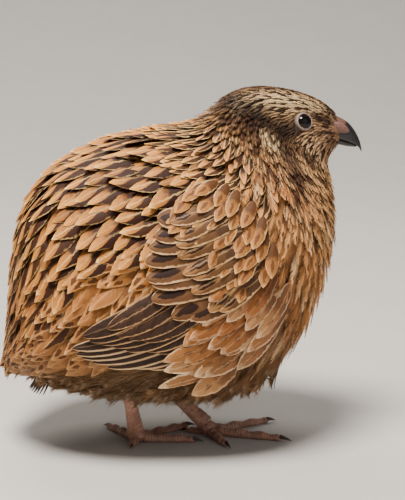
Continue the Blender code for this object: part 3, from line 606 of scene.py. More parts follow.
# span: stations and degrees. length and width: stations, and millimetres there. tip: the tip's height over the solid.
# raised: the root's height over the skin. speckle: the share of feathers that change colour, how far, and to which
plainTract = dict(turn=0, raised=0.0, beard=0.0, marked=1.0, speckle=(0.0, 0.0, (54, 34, 20)))
tracts = {
    "coatMantle": dict(
        spacing=4.9, span=((3.0, 8.7), (0, 100)), length=([3.0, 8.7], [15.5, 13.5]), width=([3.0, 8.7], [4.1, 3.6]),
        tip=1.9, seed=11, keep=lambda t, d: d < 64 + 3.0 * (t - 3.0), speckle=(0.06, 0.5, (54, 34, 20)),
        form=dict(rows=28, peak=0.54, point=(1.35, 0.9), camber=0.34, ragged=0.08, tilt=-0.14, fluff=0.12),
        look=dict(web=(1.0, 0.56, 1.7), base=(1.0, 0.52), fringe=(0.5, 0.86), shaft=(0.5, 0.1, 0.12), tip=0.9,
                  warm=0.6, dark=(48, 19, 5), pale=(255, 208, 128), wobble=0.45)),
    "coatShawl": dict(
        spacing=2.9, span=((8.1, 9.9), (0, 100)), length=([8.1, 9.9], [9.5, 6.5]), width=([8.1, 9.9], [2.6, 1.7]),
        tip=1.6, seed=21, keep=lambda t, d: d < 92, speckle=(0.1, 0.6, (54, 34, 20)),
        form=dict(rows=20, columns=6, peak=0.54, point=(1.4, 0.85), camber=0.32, ragged=0.1, tilt=-0.12, fluff=0.1),
        look=dict(web=(0.9, 0.3, 1.1), base=(1.0, 0.55), fringe=(0.8, 0.82), shaft=(0.5, 0.1, 0.16), tip=0.7,
                  warm=0.5, dark=(44, 18, 5), pale=(255, 212, 142), wobble=0.4)),
    "coatRump": dict(
        spacing=4.4, span=((0.2, 3.5), (0, 82)), length=([0.2, 1.5, 3.5], [7.0, 13.0, 17.0]),
        width=([0.0, 3.5], [2.5, 3.5]), tip=1.5, seed=12, keep=lambda t, d: d < 58 + 6.0 * t,
        speckle=(0.1, 0.35, (54, 34, 20)),
        form=dict(rows=28, peak=0.48, point=(1.2, 1.0), camber=0.28, ragged=0.14, tilt=-0.1, fluff=0.12),
        look=dict(web=(0.95, 0.22, 1.1), base=(0.95, 0.5), shaft=(0.9, 0.1, 0.14), fringe=(0.4, 0.8), warm=0.6,
                  dark=(50, 21, 6), pale=(240, 182, 106), wobble=0.4)),
    "coatSide": dict(
        spacing=4.5, span=((0.4, 7.5), (50, 136)), length=([0.8, 2.5, 7.5], [9.0, 15.0, 15.0]),
        width=([0.8, 7.5], [3.4, 4.1]), tip=1.9, seed=13,
        keep=lambda t, d: ((d > where(t < 3.2, 55 + 6.0 * t, 62 + 3.0 * (t - 3.0)))
                           & (d < 106 + 14 * clip(2.4 - t, 0, 2)) & ~within(t, d, wingOutline)),
        marked=0.6,
        form=dict(rows=30, peak=0.5, point=(1.3, 0.85), camber=0.32, ragged=0.16, tilt=-0.08, fluff=0.2),
        look=dict(pair=(0.85, 0.72), base=(0.6, 0.5), tip=0.8, fringe=(0.35, 0.76), shaft=(0.4, 0.0, 0.14), warm=0.3,
                  dark=(58, 28, 12), pale=(236, 192, 136), wobble=0.45)),
    "coatBreast": dict(
        spacing=3.5, span=((5.6, 9.9), (74, 180)), length=([5.6, 8.0, 9.9], [14.0, 11.0, 7.0]),
        width=([5.6, 8.0, 9.9], [3.3, 2.8, 1.8]), tip=1.5, seed=14,
        keep=lambda t, d: ((t > 6.4 + 0.8 * (d > 150)) | (d < 120)) & ((t > 7.4) | (d > 95)),
        speckle=(0.2, 0.6, (248, 208, 156)), marked=0.75,
        form=dict(barbs=34, sweep=1.4, peak=0.5, point=(1.5, 0.8), camber=0.26, ragged=0.25, fluff=0.12, tilt=-0.06),
        look=dict(oval=(1.0, 0.76, 0.4, 0.11), base=(0.3, 0.35), fringe=(0.7, 0.74), tip=0.5, shaft=(0.3, 0.0, 0.14),
                  warm=0.2, dark=(44, 15, 5), pale=(252, 210, 156), wobble=0.4)),
    "coatNeck": dict(
        spacing=1.7, span=((9.2, 11.6), (0, 180)), length=([9.3, 10.4, 11.6], [5.0, 3.8, 3.0]),
        width=([9.3, 11.6], [1.45, 0.85]), tip=0.9, turn=4, seed=15, keep=lambda t, d: t > 9.7 - 0.5 * (d > 100),
        speckle=(lambda t, d: where(d < 90, 0.27, 0.16), 0.95, (50, 24, 10)),
        form=dict(barbs=12, sweep=1.3, peak=0.55, point=(1.6, 0.8), camber=0.3, ragged=0.2, fluff=0.08),
        look=dict(base=(0.8, 0.5), shaft=(0.5, 0.0, 0.3), fringe=(0.7, 0.7), flanks=0.6, warm=0.15, dark=(44, 17, 5),
                  pale=(255, 218, 160))),
    "coatHead": dict(
        spacing=0.82, span=((11.4, 17.9), (0, 180)), length=([11.4, 14.0, 17.9], [3.8, 2.9, 1.5]),
        width=([11.4, 14.0, 17.9], [0.68, 0.52, 0.38]), tip=0.35, seed=16, keep=lambda t, d: t > 11.4,
        speckle=(streakChance, 0.97, (36, 20, 10)), beard=0.6,
        form=dict(barbs=8, sweep=1.6, peak=0.45, point=(1.3, 0.9), camber=0.3, ragged=0.2, fluff=0.08),
        look=dict(base=(0.6, 0.3), flanks=0.4, shaft=(0.5, 0.0, 0.3), dark=(34, 16, 7), pale=(255, 222, 170))),
    "coatBelly": dict(
        spacing=3.2, span=((0.2, 7.2), (96, 180)), length=([0.2, 1.5, 3.0, 7.2], [5.0, 10.0, 15.0, 15.0]),
        width=([0.2, 7.2], [3.2, 3.8]), tip=2.0, seed=17,
        keep=lambda t, d: ((d > 102) & (t < 6.4 + 0.8 * (d > 150)) & ((t > 1.8) | (d < 140))
                           & ~within(t, d, flightOutline)),
        speckle=(0.04, 0.4, (54, 34, 20)), marked=0.3,
        form=dict(barbs=30, sweep=2.6, peak=0.42, point=(1.2, 0.8), camber=0.1, ragged=0.7, fluff=0.7, roll=0.3),
        look=dict(base=(0.2, 0.35), tip=0.4, fringe=(0.3, 0.8), shaft=(0.2, 0.0, 0.14), pair=(0.5, 0.66),
                  dark=(110, 76, 48), pale=(240, 228, 206))),
    "coatDown": dict(
        spacing=4.2, span=((1.6, 6.6), (124, 180)), length=([1.6, 6.6], [14.0, 12.0]), width=([1.6, 6.6], [2.8, 2.6]),
        tip=3.8, seed=22, keep=lambda t, d: (d > 128 + 3 * (t - 4)) & ~within(t, d, flightOutline),
        form=dict(barbs=30, sweep=4.4, peak=0.3, point=(1.0, 1.0), camber=0.0, ragged=0.95, fluff=1.1, roll=0.4),
        look=dict(base=(0.1, 0.35), dark=(120, 96, 74), pale=(240, 228, 206))),
    "coatFlank": dict(
        spacing=4.4, span=((4.6, 8.0), (88, 138)), length=([4.6, 8.0], [24.0, 20.0]), width=([4.6, 8.0], [4.3, 3.5]),
        tip=4.1, raised=2.2, turn=-4, seed=18,
        keep=lambda t, d: (d > 92 + 4.0 * (8.0 - t)) & (d < 128) & (t > 6.9 - 0.05 * (d - 95)),
        speckle=(0.3, 0.5, (200, 150, 100)),
        form=dict(rows=44, peak=0.6, point=(1.6, 0.72), camber=0.26, ragged=0.12, fluff=0.14, tilt=-0.12),
        look=dict(base=(0.7, 0.5), fringe=(1.0, 0.72), tip=0.9, shaft=(0.4, 0.0, 0.1), oval=(0.7, 0.66, 0.2, 0.07),
                  warm=0.3, dark=(84, 42, 18), pale=(255, 218, 172), wobble=0.5)),
    "coatShoulder": dict(
        spacing=3.5, span=((5.0, 9.4), (50, 100)), length=([5.0, 9.4], [11.5, 9.5]), width=([5.0, 9.4], [2.9, 2.3]),
        tip=4.9, raised=3.8, turn=16, seed=19, keep=lambda t, d: within(t, d, shoulderOutline),
        speckle=(1.0, 0.7, (176, 118, 60)),
        form=dict(rows=24, peak=0.55, point=(1.6, 0.8), camber=0.28, ragged=0.1, tilt=-0.12, fluff=0.1),
        look=dict(oval=(0.7, 0.66, 0.3, 0.19), base=(0.8, 0.44), fringe=(0.8, 0.8), tip=0.6, warm=0.4,
                  dark=(62, 30, 13), pale=(240, 194, 136), wobble=0.6)),
}


coatValues = dict(
    eyeClear=3.5, lastRoot=17.8, gapeFrom=17.1, gapeDegrees=(60, 98),  # bare places at the eye and the bill
    beardFrom=142, beardUntil=15,  # degrees and station of the longer feathers under the chin
    lengths=(0.88, 1.12), widths=(0.88, 1.1), turns=0.12, tones=(0.86, 1.12),  # how much feathers differ
    tips=(0.3, 1.3), raisedTips=(-0.5, 0.8), backTips=([0, 16, 45], [0.35, 0.5, 1.0]),  # tips lie flatter on the back
)


def growTract(name, plan):
    plan = {**plainTract, **plan}
    rng = np.random.default_rng(plan["seed"])
    t, angle = scatter(plan["spacing"], *plan["span"], plan["keep"], plan["seed"])
    degrees = np.degrees(np.abs(angle))
    first, last = coatValues["gapeDegrees"]
    gape = (t > coatValues["gapeFrom"]) & (degrees > first) & (degrees < last)
    clear = clearOfEye(t, angle, coatValues["eyeClear"]) & (t < coatValues["lastRoot"]) & ~gape
    t, angle, degrees = t[clear], angle[clear], degrees[clear]
    count = len(t)
    length = np.interp(t, *plan["length"]) * rng.uniform(*coatValues["lengths"], count)
    length *= 1 + plan["beard"] * (degrees > coatValues["beardFrom"]) * (t < coatValues["beardUntil"])
    turn = np.radians(plan["turn"] + lieTurn(t, degrees)) + rng.normal(0, coatValues["turns"], count)
    if plan["raised"]:
        tip = plan["tip"] + rng.uniform(*coatValues["raisedTips"], count)
    else:
        tip = plan["tip"] * rng.uniform(*coatValues["tips"], count)
    tip = tip * np.interp(degrees, *coatValues["backTips"])
    points, normals = flowLines(t, angle, length, turn, (0.15 - coatDepth(t) + plan["raised"], tip))
    tone = toneAt(t, angle) * rng.uniform(*coatValues["tones"], (count, 1))
    chance, amount, colour = plan["speckle"]
    picked = (rng.random(count) < (chance(t, degrees) if callable(chance) else chance))[:, None] * amount
    tone = tone + (display(*colour) - tone) * picked
    light = clip(tone.mean(1) * 4.5, 0.05, 1.0)
    widths = np.interp(t, *plan["width"]) * rng.uniform(*coatValues["widths"], count)
    darkness = where(rng.random(count) < plan["marked"], 1 - 0.06 * rng.random(count) ** 2, 0.2)
    paleness = rng.uniform(0.25, 1.0, count) * light
    piece = layFeathers(name, points, normals, t, angle, widths, tone, darkness, paleness, plan["form"],
                        plan["seed"] + 100)
    finishPiece(piece, featherMaterial(name, **plan["look"]))
    print("feathers:", name, count, len(piece.data.polygons))


for tractName, tractPlan in tracts.items():
    growTract(tractName, tractPlan)
print("stage: coat")


# Skin

skinValues = dict(columns=120, rows=150, shade=0.5)


def skinPlace(u, v):
    t = v * lastStation
    closed = clip(np.minimum(v, 1 - v) * 60, 0.0, 1.0) ** 0.5
    centre = inSpace(chordAt(t)[0])
    return centre + (bodyAt(t, (u - 0.5) * 2 * pi, -coatDepth(t)) - centre) * closed[:, None]


skin = wrapGrid("skin", skinValues["columns"], skinValues["rows"], skinPlace)
skin.data.uv_layers[0].name = "OFBake"
co = readPoints(skin) / mm
skinT, skinAngle = stationOf(co[:, 0], co[:, 2])
paintPoints(skin, "tone", toneAt(skinT, skinAngle) * skinValues["shade"])
skinMaterial, tree, shader = newMaterial("skin", Roughness=0.8)
tone = addNode(tree, "Attribute", attribute_name="tone")["Color"]
downy = nodeNoise(tree, 900.0, 3.0)
addSurface(tree, shader, nodeScaled(tree, tone, nodeMath(tree, "MULTIPLY_ADD", downy, 0.8, 0.6)), downy, 0.0004)
finishPiece(skin, skinMaterial, ("torso", "neck", "head"))
print("stage: skin")


# Wings: rows of coverts and flight feathers given by their roots and tips in the side view

wingRows = {
    "Primaries": dict(
        count=7, roots=[(0, 58), (5, 52), (9, 46)], tips=[(-38.5, 43.0), (-36, 40.0), (-28, 37.6), (-15, 37.0)],
        width=2.7, lifts=(1.6, 2.4), bow=0.05, tone=(50, 32, 21),
        form=dict(rows=30, peak=0.6, point=(2.2, 0.6), camber=0.12, ragged=0.03, roll=0.04, tilt=-0.25),
        look=dict(base=(0.0, 0.35), fringe=(1.0, 0.7), shaft=(0.3, 0.0, 0.08), bars=(0.25, 9), pale=(206, 168, 124),
                  dark=(26, 15, 9), wobble=0.08)),
    "Secondaries": dict(
        count=7, roots=[(-2, 66), (6, 61), (12, 55)], tips=[(-35, 47.5), (-30, 45.5), (-22, 44), (-12, 43)],
        width=3.4, lifts=(2.1, 2.9), bow=0.04, tone=(48, 30, 20),
        form=dict(rows=30, peak=0.6, point=(2.2, 0.6), camber=0.12, ragged=0.04, roll=0.05, tilt=-0.25),
        look=dict(base=(0.0, 0.35), fringe=(0.9, 0.82), shaft=(0.15, 0.0, 0.14), bars=(0.5, 8), pale=(186, 142, 96),
                  dark=(22, 13, 8), wobble=0.15)),
    "Tertials": dict(
        count=4, roots=[(2, 69), (6, 63), (8, 59)], tips=[(-27, 50.5), (-23, 48), (-16, 47)], width=3.4,
        lifts=(2.4, 3.4), bow=0.02, tone=(66, 42, 27),
        form=dict(rows=28, columns=10, peak=0.6, point=(2.0, 0.6), camber=0.14, ragged=0.05, roll=0.06, tilt=-0.2),
        look=dict(base=(0.0, 0.35), fringe=(0.9, 0.84), shaft=(0.5, 0.0, 0.08), bars=(0.6, 6), flanks=0.4,
                  pale=(188, 144, 98), dark=(30, 18, 11), wobble=0.35)),
    "Coverts": dict(
        count=9, roots=[(6, 86), (13, 80), (16, 73), (18, 66), (18, 61)],
        tips=[(-9, 85), (-12.5, 78), (-15, 71), (-14.5, 65), (-10.5, 58.5), (-1, 55.5)], width=3.9, lifts=(2.7, 4.2),
        bow=-0.03, tone=(112, 74, 42), jitter=1.1,
        form=dict(rows=26, columns=12, peak=0.62, point=(2.2, 0.52), camber=0.2, ragged=0.05, roll=0.08, tilt=-0.24,
                  fluff=0.16),
        look=dict(oval=(1.0, 0.78, 0.42, 0.16), base=(0.8, 0.55), fringe=(0.95, 0.8), flanks=0.3, dark=(40, 20, 10),
                  pale=(222, 178, 128), wobble=0.3)),
    "Medians": dict(
        count=9, roots=[(12, 90), (20, 84), (23, 76), (24, 68)],
        tips=[(-5, 84), (-5, 77), (-4, 70), (1, 62), (8, 58)], width=3.5, lifts=(2.8, 4.6), bow=-0.02,
        tone=(138, 94, 52), jitter=1.4,
        form=dict(rows=22, columns=10, peak=0.6, point=(2.0, 0.58), camber=0.24, ragged=0.08, roll=0.12, tilt=-0.22,
                  fluff=0.2),
        look=dict(oval=(1.0, 0.76, 0.42, 0.14), web=(0.6, 0.4, 1.1), base=(0.8, 0.5), fringe=(0.85, 0.8),
                  shaft=(0.3, 0.0, 0.14), dark=(44, 22, 11), pale=(222, 176, 122), wobble=0.35)),
}


def layRow(name, plan, side):
    rng = np.random.default_rng(31)
    count = plan["count"]
    share = np.linspace(0.0, 1.0, count)
    wander = rng.normal(0.0, plan.get("jitter", 0.4), (count, 2))
    roots, tips = (curve(plan[end], share * (len(plan[end]) - 1)) for end in ("roots", "tips"))
    points, normals, t, angle = sideLines(roots, tips + wander, side, plan["lifts"], plan["bow"])
    tone = np.tile(display(*plan["tone"]), (count, 1)) * rng.uniform(0.9, 1.1, (count, 1))
    return layFeathers(name, points, normals, t, angle, np.full(count, plan["width"]), tone, np.ones(count),
                       rng.uniform(0.8, 1.0, count), plan["form"], 40)


for label, side in sides.items():
    for rowName, plan in wingRows.items():
        piece = layRow("wing" + rowName + label, plan, side)
        replaced = ("wing_" + label.lower(),) if rowName == "Coverts" else ()
        finishPiece(piece, featherMaterial("wing" + rowName, **plan["look"]), replaced)
print("stage: wings")


# Tail: short drooping feathers under the rump

tailValues = dict(
    count=13, rootSpread=5.5, tipSpread=12.0, width=3.4, stack=2.0, bow=1.2, tone=(70, 54, 42),
    root=(-43.0, 32.0), tip=(-51.5, 17.6), outerTip=(3.5, 1.6),  # places in the side view, and the outer tips' shift
    form=dict(rows=24, peak=0.6, point=(2.0, 0.6), camber=0.2, ragged=0.14, roll=0.05),
    look=dict(base=(0.0, 0.35), bars=(0.5, 6), fringe=(0.7, 0.84), shaft=(0.4, 0.0, 0.14), dark=(30, 20, 14),
              pale=(190, 150, 108), wobble=0.3),
)


def tailLines():
    share = np.linspace(-1.0, 1.0, tailValues["count"])
    along = np.linspace(0.0, 1.0, stationsAlong)
    outer = array(tailValues["outerTip"]) * share[:, None] ** 2
    roots = inSpace(array(tailValues["root"]) + np.zeros_like(outer), tailValues["rootSpread"] * share)
    tips = inSpace(array(tailValues["tip"]) + outer, tailValues["tipSpread"] * share)
    run = tips - roots
    out = unit(np.cross(run, array([0.0, 1.0, 0.0])))
    out = where(out[:, :1] > 0, -out, out)
    layer = (tailValues["stack"] * (1 - np.abs(share)))[:, None, None]
    points = roots[:, None] + run[:, None] * along[None, :, None]
    points = points + out[:, None] * (layer + tailValues["bow"] * sin(pi * along / 2)[None, :, None])
    return points, np.repeat(out[:, None], stationsAlong, 1), share


points, normals, share = tailLines()
tailCount = tailValues["count"]
tail = layFeathers("tailFeathers", points, normals, np.full(tailCount, 0.3), 0.4 * share + 0.01,
                   np.full(tailCount, tailValues["width"]), np.tile(display(*tailValues["tone"]), (tailCount, 1)),
                   np.ones(tailCount), np.ones(tailCount), tailValues["form"], 51)
finishPiece(tail, featherMaterial("tail", **tailValues["look"]), ("tail",))
print("stage: tail")


# Eyes and their bare rims

eyeValues = dict(
    depth=1.7, radius=3.3, segments=64, rings=40, rimSteps=72, rimRows=20,
    # the rim's section: millimetres from the eye's centre, and degrees from where the eye looks
    rimSection=[(3.15, 52), (3.38, 50), (3.56, 52), (3.66, 57), (3.6, 65), (3.35, 75), (2.9, 83), (2.9, 66)],
)
eyeMaterial, tree, shader = newMaterial("eye", Roughness=0.05, IOR=1.34)
irisPlace = addNode(tree, "SeparateXYZ", {0: addNode(tree, "UVMap", uv_map="iris")["UV"]})
fromPupil = irisPlace["X"]
fibres = addNode(tree, "CombineXYZ", {0: nodeMath(tree, "MULTIPLY", irisPlace["Y"], 30.0),
                                      1: nodeMath(tree, "MULTIPLY", fromPupil, 3.0)})[0]
iris = nodeMix(tree, nodeNoise(tree, 1.0, 3.0, fibres), display(10, 6, 5), display(30, 17, 11))
eyeColour = nodeMix(tree, nodeRamp(tree, fromPupil, 0.25, 0.28), display(6, 5, 5), iris)
eyeColour = nodeMix(tree, nodeRamp(tree, fromPupil, 0.4, 0.5), eyeColour, display(12, 8, 7))
tree.links.new(eyeColour, shader.inputs["Base Color"])
rimMaterial = mottledMaterial("eyeRim", (156, 136, 122), (104, 84, 74), 2600.0, 0.0002, Roughness=0.5,
                              Subsurface_Weight=0.1, Subsurface_Scale=0.001)

for label, side in sides.items():
    surfacePoint, outward, _, _ = frameAt(array(eyeStation), array(eyeAngle * side))
    outward = Vector(outward)
    centre = Vector(surfacePoint) - outward * eyeValues["depth"]
    bpy.ops.object.select_all(action="DESELECT")
    bpy.ops.mesh.primitive_uv_sphere_add(segments=eyeValues["segments"], ring_count=eyeValues["rings"],
                                         radius=eyeValues["radius"] * mm)
    ball = bpy.context.object
    ball.name = ball.data.name = "eyeball" + label
    irisMap = ball.data.uv_layers.new(name="iris")
    for loop in ball.data.loops:
        # the share of a quarter turn from the gaze, and the angle round it
        spot = ball.data.vertices[loop.vertex_index].co / (eyeValues["radius"] * mm)
        fromGaze = math.acos(max(-1.0, min(1.0, spot.z)))
        irisMap.data[loop.index].uv = (fromGaze / pi * 2, math.atan2(spot.y, spot.x))
    ball.data.transform(Vector((0, 0, 1)).rotation_difference(outward).to_matrix().to_4x4())
    ball.data.transform(Matrix.Translation(centre * mm))
    bpy.ops.object.shade_smooth()
    finishPiece(ball, eyeMaterial, ("eye_" + label.lower(),))

    first = outward.orthogonal().normalized()
    second = outward.cross(first)
    section = eyeValues["rimSection"]

    def rimPlace(u, v):
        turn = 2 * pi * u
        radius, degrees = curve(section[-1:] + section + section[:2], 1 + v * len(section)).T
        radius = radius + 0.07 * sin(turn * 17 + 3 * sin(turn * 5)) * sin(pi * v)  # wrinkles
        tilt = np.radians(degrees)
        radial = cos(turn)[:, None] * array(first) + sin(turn)[:, None] * array(second)
        direction = cos(tilt)[:, None] * array(outward) + sin(tilt)[:, None] * radial
        return array(centre) + direction * radius[:, None]

    rim = wrapGrid("eyeRim" + label, eyeValues["rimSteps"], eyeValues["rimRows"], rimPlace)
    finishPiece(rim, rimMaterial)
print("stage: eyes")


# Bill

billValues = dict(
    columns=48, rows=60, arch=0.74,  # arch: the share of the way round that the bill's outside takes
    culmen=[(49.6, 116.0), (53.8, 114.75), (57.5, 112.7), (60.2, 109.6), (62.0, 106.0), (62.9, 102.4)],
    gape=[(49.6, 107.6), (54.0, 107.0), (57.6, 105.9), (60.2, 104.8), (61.9, 103.5), (62.6, 102.1)],
    upperWidths=[3.2, 3.75, 3.1, 2.15, 1.25, 0.3],
    mouth=[(49.6, 107.6), (54.0, 107.3), (57.5, 106.3), (59.6, 105.4), (61.2, 104.4)],
    chin=[(49.6, 105.6), (54.0, 104.9), (57.2, 104.2), (59.0, 103.95), (60.7, 103.8)],
    lowerWidths=[3.0, 3.45, 2.7, 1.6, 0.45],
)


def upperBill(u, v):
    outside = u < billValues["arch"]
    arch = clip(u / billValues["arch"], 0, 1) * pi
    under = clip((u - billValues["arch"]) / (1 - billValues["arch"]), 0, 1)
    top, low, width = (curve(billValues[line], v * 5) for line in ("culmen", "gape", "upperWidths"))
    wide = where(outside, cos(arch) * (1 - 0.3 * sin(arch) ** 4), -1 + 2 * under)
    high = where(outside, sin(arch) ** 0.9, 0.12 * sin(under * pi))
    closed = closing(v, 30, 24, 0.6)
    middle = low + (top - low) * 0.4
    place = middle + (low + (top - low) * high[:, None] - middle) * closed[:, None]
    return inSpace(place, width * wide * closed)


def lowerBill(u, v):
    turn = 2 * pi * u
    top, low, width = (curve(billValues[line], v * 4) for line in ("mouth", "chin", "lowerWidths"))
    closed = closing(v, 30, 24, 0.6)
    high = 0.5 + 0.5 * np.sign(sin(turn)) * np.abs(sin(turn)) ** 0.7
    middle = (top + low) / 2
    place = middle + (low + (top - low) * high[:, None] - middle) * closed[:, None]
    return inSpace(place, width * cos(turn) * closed)


hornMaterial, tree, shader = newMaterial("billHorn", Roughness=0.38, Coat_Weight=0.15, Coat_Roughness=0.3)
place = addNode(tree, "SeparateXYZ", {0: addNode(tree, "TexCoord")["Object"]})
grain = nodeNoise(tree, 1400.0, 4.0)
forward = nodeMath(tree, "ADD", nodeMath(tree, "MULTIPLY", place["X"], 1000.0),
                   nodeMath(tree, "MULTIPLY", place["Z"], -880.0))  # millimetres towards the tip, less the height
root = nodeRamp(tree, nodeMath(tree, "ADD", forward, grain), -42.6, -40.8)
horn = nodeMix(tree, grain, display(16, 14, 15), display(40, 35, 34))
addSurface(tree, shader, nodeMix(tree, root, display(104, 72, 58), horn), grain, 0.00015)

for name, place, node in (("billUpper", upperBill, "bill_upper"), ("billLower", lowerBill, "bill_lower")):
    piece = wrapGrid(name, billValues["columns"], billValues["rows"], place)
    finishPiece(piece, hornMaterial, (node,))

flapValues = dict(start=(50.6, 112.6), end=(57.9, 109.6), height=1.7, depth=0.75, out=(4.75, 3.0), slit=0.35,
                  lean=0.4, columns=32, rows=32)
fleshMaterial = mottledMaterial("nostrilFlesh", (150, 104, 90), (66, 46, 40), 2400.0, 0.0002, Roughness=0.55,
                                Subsurface_Weight=0.1, Subsurface_Scale=0.001)
for label, side in sides.items():
    def flapPlace(u, v):
        # the soft flap over the nostril, with a slit under its lower edge
        turn = 2 * pi * u
        size = sin(pi * v) ** 0.7
        start, end = array(flapValues["start"]), array(flapValues["end"])
        up = sin(turn) * size * flapValues["height"]
        out = flapValues["out"][0] + (flapValues["out"][1] - flapValues["out"][0]) * v
        out = out + cos(turn) * size * flapValues["depth"]
        out = out - flapValues["slit"] * clip(-sin(turn), 0, 1) * size
        middle = start + (end - start) * v[:, None]
        return inSpace(middle + stack([flapValues["lean"] * up, up], -1), side * out)

    flap = wrapGrid("nostrilFlap" + label, flapValues["columns"], flapValues["rows"], flapPlace)
    finishPiece(flap, fleshMaterial)
print("stage: bill")


# Legs, toes and claws

# each toe: its tip from the foot, its radius and its claw's length
legs = {
    "Right": dict(ankle=(-20.5, -12.5, 26.0), foot=(-16.5, -4.0, 3.3), toes={
        "Inner": ((-28.0, 16.0), 1.55, 4.0), "Middle": ((5.5, 14.5), 1.7, 4.5),
        "Outer": ((7.5, -6.5), 1.6, 4.0), "Hind": ((-19.0, -13.5), 1.2, 2.6)}),
    "Left": dict(ankle=(-13.0, 12.0, 23.0), foot=(9.5, 3.0, 3.3), toes={
        "Inner": ((16.0, -15.5), 1.55, 4.0), "Middle": ((38.5, -8.5), 1.7, 4.5),
        "Outer": ((35.5, 18.0), 1.6, 4.0), "Hind": ((-0.5, 7.5), 1.2, 2.6)}),
}
legValues = dict(
    radius=2.45, flatten=0.86, columns=40, rows=110, scuteLength=2.1, scuteDepth=0.16,
    shape=[1.15, 1.03, 0.98, 0.95, 0.95, 0.99, 1.08, 1.18, 1.2],  # the shank's thickness from the belly down
    padRadius=3.3, padHeight=2.5, padDepth=2.6, padBumps=0.18, padColumns=48, padRows=32,
    toeColumns=28, toeRows=84, toeScute=1.05, toeDepth=0.11, toeStart=2.2, taper=0.28, bulge=0.12,
    clawWidth=0.54, clawColumns=20, clawRows=28,
)

legMaterial, tree, shader = newMaterial("legScales", Roughness=0.5, Subsurface_Weight=0.08, Subsurface_Scale=0.001)
coarse = nodeNoise(tree, 260.0, 3.0)
scales = addNode(tree, "TexVoronoi", {"Scale": 1500.0, "Vector": addNode(tree, "TexCoord")["Object"]},
                 feature="DISTANCE_TO_EDGE")["Distance"]
plates = nodeRamp(tree, scales, 0.0, 0.14)
groove = addNode(tree, "Attribute", attribute_name="groove")["Fac"]
legColour = nodeMix(tree, nodeRamp(tree, coarse, 0.35, 0.7), display(206, 156, 132), display(170, 122, 102))
legColour = nodeMix(tree, plates, display(138, 96, 80), legColour)
# the shank's and toes' grooves between scutes darken with their depth: painted shade in the grooves
legColour = nodeMix(tree, groove, legColour, display(112, 76, 64))
addSurface(tree, shader, legColour, plates, 0.00008, 0.7)
clawMaterial = mottledMaterial("claw", (78, 58, 48), (46, 34, 30), 900.0, 0.00008, Roughness=0.35,
                               Coat_Weight=0.2, Coat_Roughness=0.25)


def saw(x):
    # rises from 0 to 1 over each whole step and falls back steeply
    x = x - np.floor(x)
    return where(x < 0.82, x / 0.82, (1 - x) / 0.18)


